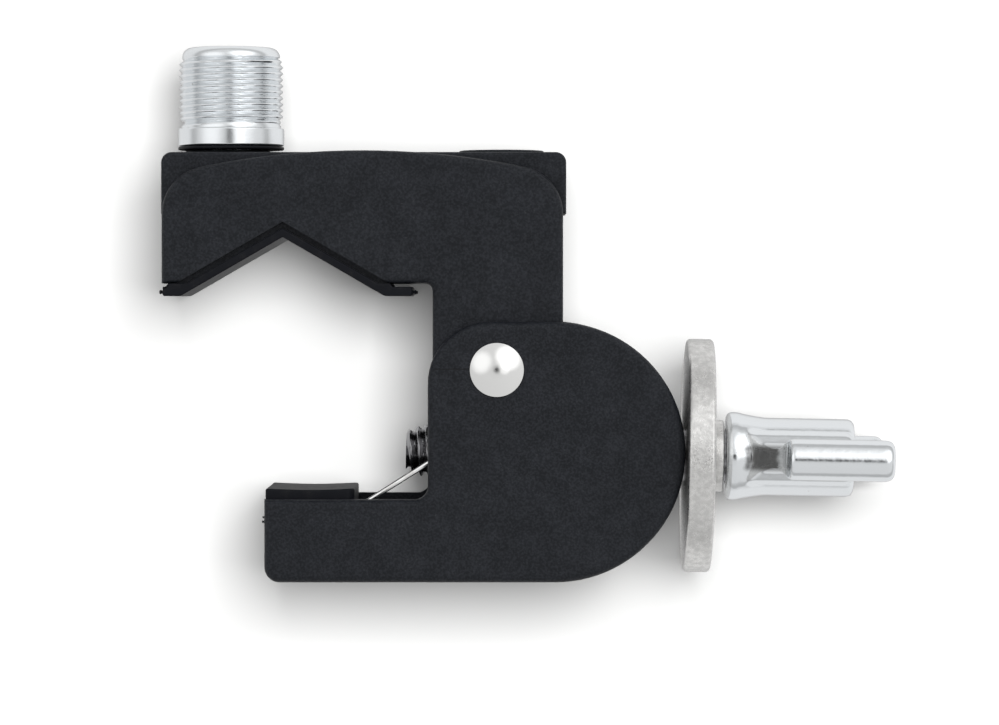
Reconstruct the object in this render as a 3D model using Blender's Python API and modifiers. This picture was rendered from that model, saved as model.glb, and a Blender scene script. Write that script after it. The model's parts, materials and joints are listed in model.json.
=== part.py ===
"""Microphone clamp with a V jaw, a hinged lower arm and a wing screw.

The clamp stands on the flat underside of its arm. +X runs from the open jaws to the wing screw,
+Z runs up the threaded stud, and the clamp's width runs along Y. The origin lies on the resting
face, straight below the hinge pin.
"""

import math

import bmesh
import bpy
from mathutils import Matrix, Vector

MM = 0.001
GAP = 0.3 * MM  # running gap between neighbouring pieces
OVERLAP = 0.5 * MM  # how far a joined shape or a cutter reaches past the surface it meets
RIM_BEVEL = 1.1 * MM  # rounded rim of both castings

# Hinge
PIVOT_Z = 32.0 * MM
PIN_RADIUS = 2.5 * MM
PIN_HEAD_RADIUS = 4.05 * MM
PIN_HEAD_HEIGHT = 1.3 * MM
PIN_TAIL_RADIUS = 3.6 * MM
PIN_TAIL_HEIGHT = 1.5 * MM
SLEEVE_INNER = 2.8 * MM
SLEEVE_OUTER = 3.5 * MM
TAIL_WASHER_RADIUS = 4.9 * MM
TAIL_WASHER_THICKNESS = 0.8 * MM

# Upper jaw casting
BODY_HALF_WIDTH = 12.0 * MM
BLOCK_HALF_WIDTH = 9.5 * MM
BODY_LEFT = -50.6 * MM
BODY_RIGHT = 10.0 * MM
BODY_SHOULDER_RADIUS = 7.2 * MM
BODY_ARCH_FOOT_Z = 62.9 * MM
BODY_ARCH_TOP_Z = 65.1 * MM
BLOCK_LEFT = -50.8 * MM
BLOCK_RIGHT = 10.5 * MM
BLOCK_BOTTOM_Z = 55.6 * MM
BLOCK_TOP_Z = 64.9 * MM
BLOCK_CORNER = 1.6 * MM
BOSS_RADIUS = 6.5 * MM
BOSS_TOP_Z = 65.35 * MM
BOSS_X = (-41.2 * MM, 0.7 * MM)
JAW_TIP_Z = 45.0 * MM
STEM_LEFT = -9.7 * MM
STEM_BOTTOM_Z = 9.0 * MM
STEM_CORNER = 3.0 * MM

# V of the upper jaw
V_APEX_X = -32.3 * MM
V_APEX_Z = 53.3 * MM
V_ANGLE = math.radians(30)
V_PAD_HALF_WIDTH = 12.0 * MM
V_PAD_THICKNESS = 0.85 * MM
V_PAD_LEFT = -50.4 * MM
V_PAD_RIGHT = -12.8 * MM
V_TAB_TOP_Z = 44.6 * MM
V_TAB_BOTTOM_Z = 43.1 * MM
TONGUE_HEIGHT = 0.9 * MM
TONGUE_HALF_WIDTH = 6.0 * MM
TONGUE_HALF_LENGTH = 12.0 * MM

# Stud and its fastening
STUD_X = -40.7 * MM
STUD_COLLAR_RADIUS = 8.1 * MM
STUD_COLLAR_HEIGHT = 2.7 * MM
STUD_NECK_RADIUS = 7.6 * MM
STUD_NECK_HEIGHT = 0.6 * MM
STUD_MAJOR_RADIUS = 15.875 / 2 * MM
STUD_PITCH = 25.4 / 27 * MM
STUD_RIDGES = 11
STUD_TOP_Z = 81.1 * MM
STUD_CHAMFER = 1.5 * MM
STUD_CROWN_RADIUS = STUD_MAJOR_RADIUS - 0.45 * MM
GASKET_THICKNESS = 0.5 * MM
GASKET_BORE = 5.0 * MM
BOLT_RADIUS = 3.0 * MM
BOLT_TOP_Z = 74.0 * MM
BOLT_HEAD_RADIUS = 5.0 * MM
BOLT_HEAD_HEIGHT = 3.4 * MM
BOLT_SOCKET_RADIUS = 2.3 * MM
BOLT_SOCKET_DEPTH = 2.0 * MM
WASHER_GAP = 0.1 * MM  # between flat faces that bear on each other
BOLT_WASHER_THICKNESS = 1.0 * MM
LOCK_WASHER_THICKNESS = 1.3 * MM
LOCK_WASHER_SPLIT = 0.7 * MM
COUNTERBORE_TOP_Z = 60.0 * MM

# Lower arm casting
ARM_HALF_WIDTH = 14.5 * MM
ARM_ROUND_RADIUS = 19.6 * MM
ARM_ROUND_X = 8.8 * MM
ARM_LEFT = -35.0 * MM
ARM_INNER_X = -10.4 * MM
ARM_JAW_TOP_Z = 12.5 * MM
ARM_FLOOR_Z = 11.4 * MM
ARM_WALL = 3.2 * MM
ARM_KNEE_RADIUS = 9.3 * MM
CAVITY_HALF_WIDTH = 12.4 * MM
CAVITY_LEFT = -10.9 * MM
CAVITY_RIGHT_LIP = 10.5 * MM
TIP_RELIEF_HALF_WIDTH = 4.8 * MM
TIP_RELIEF_LEFT = -16.0 * MM
TIP_RELIEF_FLOOR_Z = 6.0 * MM
SCREW_SLOT_HALF_WIDTH = 4.5 * MM
SCREW_SLOT_ANGLES = (-17.0, 57.0)

# Lower pad
LOWER_PAD_X = (-34.9 * MM, -21.5 * MM)
LOWER_PAD_TOP_Z = 14.1 * MM
LOWER_PAD_HALF_WIDTH = 12.0 * MM

# Wing screw, measured along its own axis from the point below the hinge pin
SCREW_Z = 19.25 * MM
SCREW_TILT = math.radians(1.05)  # the screw sags a little in its nut
ROD_RADIUS = 3.95 * MM
ROD_TIP_RADIUS = 3.0 * MM
ROD_PITCH = 1.25 * MM
ROD_START = -13.9 * MM
ROD_RIDGES = 3
ROD_END = 50.0 * MM
NUT_START = -10.0 * MM
NUT_LENGTH = 6.5 * MM
NUT_ACROSS_FLATS = 13.0 * MM
DISC_START = 28.75 * MM
DISC_THICKNESS = 4.1 * MM
DISC_RADIUS = 17.85 * MM
DISC_CHAMFER = 0.6 * MM
COLLAR_THICKNESS = 1.5 * MM
COLLAR_RADIUS = 5.5 * MM
WING_START = 35.0 * MM
WING_FLANGE_RADIUS = 6.75 * MM
WING_FLANGE_END = 37.5 * MM
WING_BARREL_RADIUS = 5.95 * MM
WING_BARREL_START = 41.0 * MM
WING_BARREL_END = 54.6 * MM
WING_TIP_START = 44.6 * MM
WING_END = 60.1 * MM
WING_RADIUS = 14.1 * MM
WING_HALF_THICKNESS = 3.3 * MM

# Return spring
WIRE_RADIUS = 0.4 * MM
COIL_RADIUS = 4.4 * MM
COIL_TURNS = 3
COIL_STEPS = 16
COIL_FRONT_Y = -11.3 * MM
COIL_PITCH = 1.2 * MM
SPRING_POCKET_RADIUS = 5.8 * MM
LEG_BEND = (-4.45 * MM, 21.65 * MM)
LEG_END = (-19.75 * MM, 12.0 * MM)
HOOK_TOP_Z = 37.4 * MM

PARTS = bpy.data.collections.new("microphone_clamp")
CUTTERS = bpy.data.collections.new("cutters")


def clear_scene():
    for obj in list(bpy.data.objects):
        bpy.data.objects.remove(obj)
    for collection in (PARTS, CUTTERS):
        bpy.context.scene.collection.children.link(collection)


def finish(name, colour, roughness, metallic):
    """A plain Principled material."""
    material = bpy.data.materials.new(name)
    material.use_nodes = True
    shader = material.node_tree.nodes["Principled BSDF"]
    shader.inputs["Base Color"].default_value = (*colour, 1.0)
    shader.inputs["Roughness"].default_value = roughness
    shader.inputs["Metallic"].default_value = metallic
    return material


def new_object(name, mesh, collection=PARTS):
    obj = bpy.data.objects.new(name, mesh)
    collection.objects.link(obj)
    if collection is CUTTERS:
        obj.hide_render = True
        obj.display_type = "WIRE"
    return obj


def mesh_object(name, build, collection=PARTS):
    """An object whose mesh is filled by build(bm)."""
    mesh = bpy.data.meshes.new(name)
    bm = bmesh.new()
    build(bm)
    bmesh.ops.recalc_face_normals(bm, faces=bm.faces)
    bm.to_mesh(mesh)
    bm.free()
    return new_object(name, mesh, collection)


def welded(source, collection):
    """Replaces an object with its evaluated mesh, welded, of the same name and place."""
    bpy.context.view_layer.update()
    graph = bpy.context.evaluated_depsgraph_get()
    mesh = bpy.data.meshes.new_from_object(source.evaluated_get(graph))
    bm = bmesh.new()
    bm.from_mesh(mesh)
    bmesh.ops.remove_doubles(bm, verts=bm.verts, dist=0.00001)
    bmesh.ops.recalc_face_normals(bm, faces=bm.faces)
    bm.to_mesh(mesh)
    bm.free()
    name, matrix = source.name, source.matrix_world.copy()
    bpy.data.objects.remove(source)
    obj = new_object(name, mesh, collection)
    obj.matrix_world = matrix
    return obj


def plate(name, outline, half_width, centre_y=0.0, collection=PARTS):
    """A closed outline of (x, z) points, extruded by half_width to each side of centre_y."""
    curve = bpy.data.curves.new(name, "CURVE")
    curve.dimensions = "2D"
    curve.fill_mode = "BOTH"
    curve.extrude = half_width
    spline = curve.splines.new("POLY")
    spline.points.add(len(outline) - 1)
    for point, (x, z) in zip(spline.points, outline):
        point.co = (x, z, 0.0, 1.0)
    spline.use_cyclic_u = True
    obj = bpy.data.objects.new(name, curve)
    collection.objects.link(obj)
    obj.rotation_euler = (math.radians(90), 0.0, 0.0)
    obj.location.y = centre_y
    obj = welded(obj, collection)
    merge_flat_faces(obj)
    return obj


def merge_flat_faces(obj):
    """Makes each flat side one face."""
    bm = bmesh.new()
    bm.from_mesh(obj.data)
    bmesh.ops.dissolve_limit(bm, angle_limit=math.radians(0.5), verts=bm.verts, edges=bm.edges)
    bm.to_mesh(obj.data)
    bm.free()


def bevel_rims(obj, width, segments=2):
    """Rounds the edges that lie in the plate's two end faces."""
    mesh = obj.data
    ends = (min(v.co.z for v in mesh.vertices), max(v.co.z for v in mesh.vertices))
    weights = mesh.attributes.new("bevel_weight_edge", "FLOAT", "EDGE")
    for edge in mesh.edges:
        heights = [mesh.vertices[i].co.z for i in edge.vertices]
        in_end = any(all(abs(h - end) < GAP / 10 for h in heights) for end in ends)
        weights.data[edge.index].value = 1.0 if in_end else 0.0
    bevel = obj.modifiers.new("rim", "BEVEL")
    bevel.limit_method = "WEIGHT"
    bevel.width = width
    bevel.segments = segments
    bevel.use_clamp_overlap = False


def bevel_sharp(obj, width, segments=2, angle=40.0):
    bevel = obj.modifiers.new("edges", "BEVEL")
    bevel.limit_method = "ANGLE"
    bevel.angle_limit = math.radians(angle)
    bevel.width = width
    bevel.segments = segments


def boolean(obj, other, operation):
    modifier = obj.modifiers.new(other.name, "BOOLEAN")
    modifier.operation = operation
    modifier.object = other


def cut(obj, *cutters):
    for cutter in cutters:
        boolean(obj, cutter, "DIFFERENCE")


def join(obj, *others):
    for other in others:
        boolean(obj, other, "UNION")


def arc(centre, radius, start, end, steps):
    """Points along an arc, in degrees, both ends included."""
    angles = [math.radians(start + (end - start) * i / steps) for i in range(steps + 1)]
    return [(centre[0] + radius * math.cos(a), centre[1] + radius * math.sin(a)) for a in angles]


def fillet(before, corner, after, radius, steps=5):
    """The points of an arc of this radius that rounds the corner between two straight sides."""
    corner_point = Vector(corner)
    one = (Vector(before) - corner_point).normalized()
    two = (Vector(after) - corner_point).normalized()
    half = one.angle(two) / 2
    centre = corner_point + (one + two).normalized() * (radius / math.sin(half))
    first = corner_point + one * (radius / math.tan(half)) - centre
    last = corner_point + two * (radius / math.tan(half)) - centre
    turn = first.angle_signed(last)
    points = []
    for i in range(steps + 1):
        offset = first.copy()
        offset.rotate(Matrix.Rotation(-turn * i / steps, 2))
        points.append(tuple(centre + offset))
    return points


def rounded(corners, steps=5):
    """A closed outline from (x, z, radius) corners; a radius of 0 keeps the corner sharp."""
    points = []
    for i, (x, z, radius) in enumerate(corners):
        before = corners[i - 1][:2]
        after = corners[(i + 1) % len(corners)][:2]
        points += fillet(before, (x, z), after, radius, steps) if radius else [(x, z)]
    return points


def turned(name, profile, steps=32, collection=PARTS):
    """A solid turned about Z from (radius, height) points that climb its outer side.

    The profile ends on the axis, or at its own first point where the solid is a ring.
    """
    mesh = bpy.data.meshes.new(name)
    bm = bmesh.new()
    ring = profile[0] == profile[-1]
    points = profile[-2::-1] if ring else profile[::-1]
    verts = [bm.verts.new((radius, 0.0, height)) for radius, height in points]
    for one, two in zip(verts, verts[1:] + verts[:1] if ring else verts[1:]):
        bm.edges.new((one, two))
    bm.to_mesh(mesh)
    bm.free()
    obj = new_object(name, mesh, collection)
    screw = obj.modifiers.new("turn", "SCREW")
    screw.axis = "Z"
    screw.steps = steps
    screw.render_steps = steps
    screw.use_merge_vertices = True
    screw.merge_threshold = 0.00001
    return welded(obj, collection)


def ring_profile(inner, outer, bottom, top):
    """A closed rectangle section for turned()."""
    return [(inner, bottom), (outer, bottom), (outer, top), (inner, top), (inner, bottom)]


def cylinder(name, radius, bottom, top, collection=CUTTERS, sides=32):
    """A plain cylinder about local Z."""
    def build(bm):
        bmesh.ops.create_cone(
            bm, cap_ends=True, segments=sides, radius1=radius, radius2=radius, depth=top - bottom
        )
        bmesh.ops.translate(bm, verts=bm.verts, vec=(0.0, 0.0, (top + bottom) / 2))

    return mesh_object(name, build, collection)


def along_y(obj, x, z):
    """Lays a piece turned about Z along Y: its local +Z points to +Y."""
    obj.rotation_euler = (math.radians(-90), 0.0, 0.0)
    obj.location = (x, 0.0, z)
    return obj


def along_screw(obj, axis):
    """Lays a piece turned about Z along the screw: its local +Z points away from the jaws."""
    obj.parent = axis
    obj.rotation_euler = (0.0, math.radians(90), 0.0)
    return obj


def shade(obj, angle=30.0):
    """Smooth shading on round surfaces, with creases kept sharp."""
    obj.data.shade_smooth()
    obj.data.set_sharp_from_angle(angle=math.radians(angle))


def dress(obj, material):
    obj.data.materials.clear()
    obj.data.materials.append(material)
    shade(obj)


def v_z(x, offset=0.0):
    """Height of the V's surface at x, moved square to the surface by offset, down positive."""
    return V_APEX_Z - offset / math.cos(V_ANGLE) - abs(x - V_APEX_X) * math.tan(V_ANGLE)


def v_x(z, offset, side):
    """Where the V's surface reaches height z, on side -1 or +1 of the apex."""
    return V_APEX_X + side * (v_z(V_APEX_X, offset) - z) / math.tan(V_ANGLE)


def body_outline():
    """Outline of the upper jaw's cheeks, with the arched top, the V and the stem."""
    arch_half = (BODY_RIGHT - BODY_LEFT) / 2
    rise = BODY_ARCH_TOP_Z - BODY_ARCH_FOOT_Z + 1.6 * MM
    radius = (arch_half**2 + rise**2) / (2 * rise)
    middle = (BODY_LEFT + BODY_RIGHT) / 2
    reach = math.degrees(math.asin(arch_half / radius))
    centre = (middle, BODY_ARCH_TOP_Z - radius)
    arch = arc(centre, radius, 90 - reach, 90 + reach, 16)
    right_corner, left_corner = arch[0], arch[-1]
    inner = [p for p in arch[1:-1] if BODY_LEFT + 5.5 * MM < p[0] < BODY_RIGHT - 5.5 * MM]
    outline = fillet((BODY_RIGHT, JAW_TIP_Z), right_corner, inner[0], BODY_SHOULDER_RADIUS, 8)
    outline += inner
    outline += fillet(inner[-1], left_corner, (BODY_LEFT, JAW_TIP_Z), BODY_SHOULDER_RADIUS, 8)
    outline += [(BODY_LEFT, JAW_TIP_Z), (v_x(JAW_TIP_Z, 0.0, -1), JAW_TIP_Z)]
    outline += [(V_APEX_X, V_APEX_Z), (v_x(JAW_TIP_Z, 0.0, 1), JAW_TIP_Z)]
    corner = (STEM_LEFT, JAW_TIP_Z)
    foot_left, foot_right = (STEM_LEFT, STEM_BOTTOM_Z), (BODY_RIGHT, STEM_BOTTOM_Z)
    outline += fillet(outline[-1], corner, foot_left, 1.2 * MM, 4)
    outline += fillet(corner, foot_left, foot_right, STEM_CORNER)
    outline += fillet(foot_left, foot_right, right_corner, STEM_CORNER)
    return outline


def make_upper_jaw(metal, screw_axis):
    """The upper casting: cheeks, top block, bosses, V and stem, with every hole and pocket."""
    body = plate("upper_jaw", body_outline(), BODY_HALF_WIDTH)
    bevel_rims(body, RIM_BEVEL)
    block = plate(
        "top_block",
        rounded([
            (BLOCK_LEFT, BLOCK_BOTTOM_Z, 0),
            (BLOCK_RIGHT, BLOCK_BOTTOM_Z, 0),
            (BLOCK_RIGHT, BLOCK_TOP_Z, BLOCK_CORNER),
            (BLOCK_LEFT, BLOCK_TOP_Z, BLOCK_CORNER),
        ]),
        BLOCK_HALF_WIDTH,
        collection=CUTTERS,
    )
    join(body, block)
    for number, x in enumerate(BOSS_X, 1):
        boss = cylinder(f"boss_{number}", BOSS_RADIUS, BLOCK_BOTTOM_Z + MM, BOSS_TOP_Z)
        boss.location.x = x
        join(body, boss)
    groove = plate(
        "pad_groove",
        v_band(-TONGUE_HEIGHT - GAP, OVERLAP, TONGUE_HALF_LENGTH + GAP),
        TONGUE_HALF_WIDTH + GAP,
        collection=CUTTERS,
    )
    stud_hole = cylinder("stud_hole", BOLT_RADIUS + GAP, JAW_TIP_Z, BOSS_TOP_Z + OVERLAP)
    counterbore = cylinder("counterbore", BOLT_HEAD_RADIUS + 2 * GAP, JAW_TIP_Z, COUNTERBORE_TOP_Z)
    for hole in (stud_hole, counterbore):
        hole.location.x = STUD_X
    reach = BODY_HALF_WIDTH + OVERLAP
    pin_hole = along_y(cylinder("pin_hole", SLEEVE_OUTER + GAP, -reach, reach), 0.0, PIVOT_Z)
    nut_pocket = cylinder(
        "nut_pocket",
        (NUT_ACROSS_FLATS / 2 + GAP) / math.cos(math.radians(30)),
        NUT_START - 2 * MM,
        NUT_START + NUT_LENGTH + GAP,
        sides=6,
    )
    rod_hole = cylinder("rod_hole", ROD_RADIUS + 2 * GAP, NUT_START, BODY_RIGHT + 2 * MM)
    for hole in (nut_pocket, rod_hole):
        along_screw(hole, screw_axis)
    cut(body, groove, stud_hole, counterbore, pin_hole, nut_pocket, rod_hole)
    cut(body, *spring_pocket_cutters())
    dress(body, metal)
    return body


def spring_pocket_cutters():
    """The round pocket for the coil, the hook's slot, and the shallow recess the long leg swings in."""
    front = -BODY_HALF_WIDTH - OVERLAP
    coil_back = COIL_FRONT_Y + COIL_TURNS * COIL_PITCH + WIRE_RADIUS + GAP
    pocket = along_y(
        cylinder("spring_pocket", SPRING_POCKET_RADIUS, front, coil_back), 0.0, PIVOT_Z
    )
    hook_half = WIRE_RADIUS + GAP
    hook_x = -COIL_RADIUS
    hook_slot = plate(
        "hook_slot",
        [
            (hook_x - hook_half, PIVOT_Z),
            (hook_x + hook_half, PIVOT_Z),
            (hook_x + hook_half, HOOK_TOP_Z + GAP),
            (hook_x - hook_half, HOOK_TOP_Z + GAP),
        ],
        (coil_back - front) / 2,
        (coil_back + front) / 2,
        CUTTERS,
    )
    leg_back = COIL_FRONT_Y + WIRE_RADIUS + GAP
    recess = plate(
        "leg_recess",
        [
            (-12 * MM, 34.0 * MM),
            (-3 * MM, 34.0 * MM),
            (-1.2 * MM, 19.4 * MM),
            (-4.8 * MM, 18.2 * MM),
            (-12 * MM, 14.2 * MM),
        ],
        (leg_back - front) / 2,
        (leg_back + front) / 2,
        CUTTERS,
    )
    return pocket, hook_slot, recess


def v_band(top_offset, bottom_offset, half_length):
    """A band that follows the V between two offsets, out to half_length each side of the apex."""
    left, right = V_APEX_X - half_length, V_APEX_X + half_length
    return [
        (left, v_z(left, bottom_offset)),
        (V_APEX_X, v_z(V_APEX_X, bottom_offset)),
        (right, v_z(right, bottom_offset)),
        (right, v_z(right, top_offset)),
        (V_APEX_X, v_z(V_APEX_X, top_offset)),
        (left, v_z(left, top_offset)),
    ]


def make_v_pad(rubber):
    """The rubber strip under the V, with a tab under each jaw tip and a tongue in the groove."""
    bottom = GAP + V_PAD_THICKNESS
    outline = [
        (V_PAD_LEFT, V_TAB_BOTTOM_Z),
        (v_x(V_TAB_BOTTOM_Z, bottom, -1), V_TAB_BOTTOM_Z),
        (V_APEX_X, v_z(V_APEX_X, bottom)),
        (v_x(V_TAB_BOTTOM_Z, bottom, 1), V_TAB_BOTTOM_Z),
        (V_PAD_RIGHT, V_TAB_BOTTOM_Z),
        (V_PAD_RIGHT, V_TAB_TOP_Z),
        (v_x(V_TAB_TOP_Z, GAP, 1), V_TAB_TOP_Z),
        (V_APEX_X, v_z(V_APEX_X, GAP)),
        (v_x(V_TAB_TOP_Z, GAP, -1), V_TAB_TOP_Z),
        (V_PAD_LEFT, V_TAB_TOP_Z),
    ]
    pad = plate("v_pad", outline, V_PAD_HALF_WIDTH)
    tongue = plate(
        "v_pad_tongue",
        v_band(-TONGUE_HEIGHT, GAP + V_PAD_THICKNESS / 2, TONGUE_HALF_LENGTH),
        TONGUE_HALF_WIDTH,
        collection=CUTTERS,
    )
    join(pad, tongue)
    dress(pad, rubber)


def make_lower_pad(rubber):
    """The rubber block on the arm's floor."""
    left, right = LOWER_PAD_X
    outline = rounded([
        (left, ARM_FLOOR_Z + GAP, 0),
        (right, ARM_FLOOR_Z + GAP, 0),
        (right, LOWER_PAD_TOP_Z, 0.8 * MM),
        (left, LOWER_PAD_TOP_Z, 0.5 * MM),
    ])
    pad = plate("lower_pad", outline, LOWER_PAD_HALF_WIDTH)
    dress(pad, rubber)


def arm_outline():
    """Outline of the arm: flat jaw, round heel and the knee over the hinge."""
    heel = arc((ARM_ROUND_X, ARM_ROUND_RADIUS), ARM_ROUND_RADIUS, -90, 90, 24)
    top_z = 2 * ARM_ROUND_RADIUS
    knee, inner = (ARM_INNER_X, top_z), (ARM_INNER_X, ARM_JAW_TOP_Z)
    tip, toe = (ARM_LEFT, ARM_JAW_TOP_Z), (ARM_LEFT, 0.0)
    outline = heel
    outline += fillet(heel[-1], knee, inner, ARM_KNEE_RADIUS, 8)
    outline += fillet(knee, inner, tip, 2.0 * MM)
    outline += [tip]
    outline += fillet(tip, toe, heel[0], 2.3 * MM)
    return outline


def make_lower_arm(metal):
    """The arm: two cheeks joined by a round heel wall, with a channelled jaw floor.

    A pocket in the floor leaves room for the tip of the wing screw as the jaws close.
    """
    arm = plate("lower_arm", arm_outline(), ARM_HALF_WIDTH)
    bevel_rims(arm, RIM_BEVEL)
    inner_radius = ARM_ROUND_RADIUS - ARM_WALL
    centre = (ARM_ROUND_X, ARM_ROUND_RADIUS)
    lip = math.degrees(math.acos((CAVITY_RIGHT_LIP - ARM_ROUND_X) / inner_radius))
    above = 2 * ARM_ROUND_RADIUS + 2 * MM
    beyond = ARM_LEFT - 2 * MM
    cavity_outline = arc(centre, inner_radius, -90, lip, 20)
    cavity_outline += [(CAVITY_RIGHT_LIP, above), (beyond, above), (beyond, ARM_FLOOR_Z)]
    cavity_outline += [(CAVITY_LEFT, ARM_FLOOR_Z)]
    cavity_outline += fillet(
        cavity_outline[-1], (CAVITY_LEFT, ARM_WALL), cavity_outline[0], 1.0 * MM
    )
    cavity = plate("arm_cavity", cavity_outline, CAVITY_HALF_WIDTH, collection=CUTTERS)
    low, high = SCREW_SLOT_ANGLES
    slot_outline = arc(centre, inner_radius - 2 * MM, low, high, 8)
    slot_outline += arc(centre, ARM_ROUND_RADIUS + 2 * MM, high, low, 8)
    slot = plate("screw_slot", slot_outline, SCREW_SLOT_HALF_WIDTH, collection=CUTTERS)
    relief_outline = rounded([
        (TIP_RELIEF_LEFT, TIP_RELIEF_FLOOR_Z, 2.0 * MM),
        (CAVITY_LEFT + MM, TIP_RELIEF_FLOOR_Z, 0),
        (CAVITY_LEFT + MM, ARM_JAW_TOP_Z, 0),
        (TIP_RELIEF_LEFT, ARM_JAW_TOP_Z, 0),
    ])
    relief = plate("tip_relief", relief_outline, TIP_RELIEF_HALF_WIDTH, collection=CUTTERS)
    reach = ARM_HALF_WIDTH + OVERLAP
    pin_hole = along_y(cylinder("arm_pin_hole", SLEEVE_INNER, -reach, reach), 0.0, PIVOT_Z)
    cut(arm, cavity, relief, slot, pin_hole)
    dress(arm, metal)


def dome(radius, height, base, direction, steps=6):
    """(radius, height) points of a spherical cap, from its rim to its tip on the axis."""
    sphere = (radius**2 + height**2) / (2 * height)
    reach = math.asin(radius / sphere)
    points = []
    for i in range(steps + 1):
        angle = reach * (1 - i / steps)
        rise = sphere * math.cos(angle) - (sphere - height)
        points.append((sphere * math.sin(angle), base + direction * rise))
    return points


def make_hinge(bright, steel):
    """The rivet that holds arm and stem together, the sleeve on it and the washer at its tail."""
    head_base = -ARM_HALF_WIDTH - GAP / 2
    washer_base = ARM_HALF_WIDTH + GAP / 2
    tail_base = washer_base + TAIL_WASHER_THICKNESS + GAP / 2
    profile = dome(PIN_HEAD_RADIUS, PIN_HEAD_HEIGHT, head_base, -1)[::-1]
    profile += [(PIN_RADIUS, head_base), (PIN_RADIUS, tail_base)]
    profile += dome(PIN_TAIL_RADIUS, PIN_TAIL_HEIGHT, tail_base, 1)
    rivet = along_y(turned("hinge_rivet", profile), 0.0, PIVOT_Z)
    dress(rivet, bright)
    inside = CAVITY_HALF_WIDTH - GAP
    sleeve = turned("hinge_sleeve", ring_profile(SLEEVE_INNER, SLEEVE_OUTER, -inside, inside))
    dress(along_y(sleeve, 0.0, PIVOT_Z), steel)
    washer_profile = ring_profile(
        PIN_RADIUS + GAP, TAIL_WASHER_RADIUS, washer_base, washer_base + TAIL_WASHER_THICKNESS
    )
    dress(along_y(turned("rivet_washer", washer_profile), 0.0, PIVOT_Z), steel)


def ridges(radius, pitch, start, count):
    """(radius, height) points of count thread ridges of 60 degrees, cut as rings."""
    depth = 0.6 * pitch
    points = []
    for i in range(count):
        root = start + i * pitch
        points += [(radius - depth, root), (radius, root + pitch * 0.45)]
        points += [(radius, root + pitch * 0.55)]
    points.append((radius - depth, start + count * pitch))
    return points


def make_stud(chrome):
    """The threaded stud: a collar, a neck, the thread and a rounded crown, bored from below."""
    bore = BOLT_RADIUS + GAP
    bore_top = BOLT_TOP_Z + GAP
    base = BOSS_TOP_Z + GASKET_THICKNESS + 2 * WASHER_GAP
    neck = base + STUD_COLLAR_HEIGHT
    thread = neck + STUD_NECK_HEIGHT
    crown = STUD_TOP_Z - STUD_CHAMFER
    profile = [(0.0, bore_top), (bore, bore_top), (bore, base)]
    profile += [(STUD_COLLAR_RADIUS, base), (STUD_COLLAR_RADIUS, neck)]
    profile += [(STUD_NECK_RADIUS, neck), (STUD_NECK_RADIUS, thread)]
    profile += ridges(STUD_MAJOR_RADIUS, STUD_PITCH, thread + OVERLAP / 2, STUD_RIDGES)
    profile += arc((STUD_CROWN_RADIUS - STUD_CHAMFER, crown), STUD_CHAMFER, 0, 90, 4)
    profile += [(0.0, STUD_TOP_Z)]
    stud = turned("mount_stud", profile, 28)
    stud.location.x = STUD_X
    dress(stud, chrome)


def make_stud_fastening(steel, rubber):
    """The gasket under the stud, and the socket bolt, lock washer and flat washer inside the jaw."""
    gasket_z = BOSS_TOP_Z + WASHER_GAP
    gasket_profile = ring_profile(
        GASKET_BORE, STUD_COLLAR_RADIUS, gasket_z, gasket_z + GASKET_THICKNESS
    )
    washer_top = COUNTERBORE_TOP_Z - WASHER_GAP
    washer_bottom = washer_top - BOLT_WASHER_THICKNESS
    lock_top = washer_bottom - WASHER_GAP
    lock_bottom = lock_top - LOCK_WASHER_THICKNESS
    head_top = lock_bottom - WASHER_GAP
    head_bottom = head_top - BOLT_HEAD_HEIGHT
    bore = BOLT_RADIUS + GAP
    pieces = [
        (turned("stud_gasket", gasket_profile), rubber),
        (turned("stud_washer", ring_profile(bore, BOLT_HEAD_RADIUS, washer_bottom, washer_top)), steel),
        (make_lock_washer(bore, BOLT_HEAD_RADIUS - GAP, lock_bottom, lock_top), steel),
        (make_stud_bolt(head_bottom, head_top), steel),
    ]
    for piece, material in pieces:
        piece.location.x = STUD_X
        dress(piece, material)


def make_lock_washer(inner, outer, bottom, top):
    """A split ring."""
    ring = turned("stud_lock_washer", ring_profile(inner, outer, bottom, top))
    split = mesh_object(
        "lock_washer_split",
        lambda bm: bmesh.ops.create_cube(bm, size=2 * outer),
        CUTTERS,
    )
    split.scale = (1.0, LOCK_WASHER_SPLIT / (2 * outer), 1.0)
    split.location = (STUD_X + outer, 0.0, (bottom + top) / 2)
    cut(ring, split)
    return ring


def make_stud_bolt(head_bottom, head_top):
    """A cap bolt, head down, with a hexagon socket."""
    profile = [(0.0, head_bottom), (BOLT_HEAD_RADIUS, head_bottom), (BOLT_HEAD_RADIUS, head_top)]
    profile += [(BOLT_RADIUS, head_top), (BOLT_RADIUS, BOLT_TOP_Z), (0.0, BOLT_TOP_Z)]
    bolt = turned("stud_bolt", profile, 24)
    socket = cylinder(
        "bolt_socket",
        BOLT_SOCKET_RADIUS,
        head_bottom - OVERLAP,
        head_bottom + BOLT_SOCKET_DEPTH,
        sides=6,
    )
    socket.location.x = STUD_X
    cut(bolt, socket)
    return bolt


def screw_frame():
    """An empty on the screw's axis, below the hinge pin, whose local +X runs along the screw."""
    axis = bpy.data.objects.new("screw_axis", None)
    PARTS.objects.link(axis)
    axis.location = (0.0, 0.0, SCREW_Z)
    axis.rotation_euler = (0.0, SCREW_TILT, 0.0)
    return axis


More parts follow.
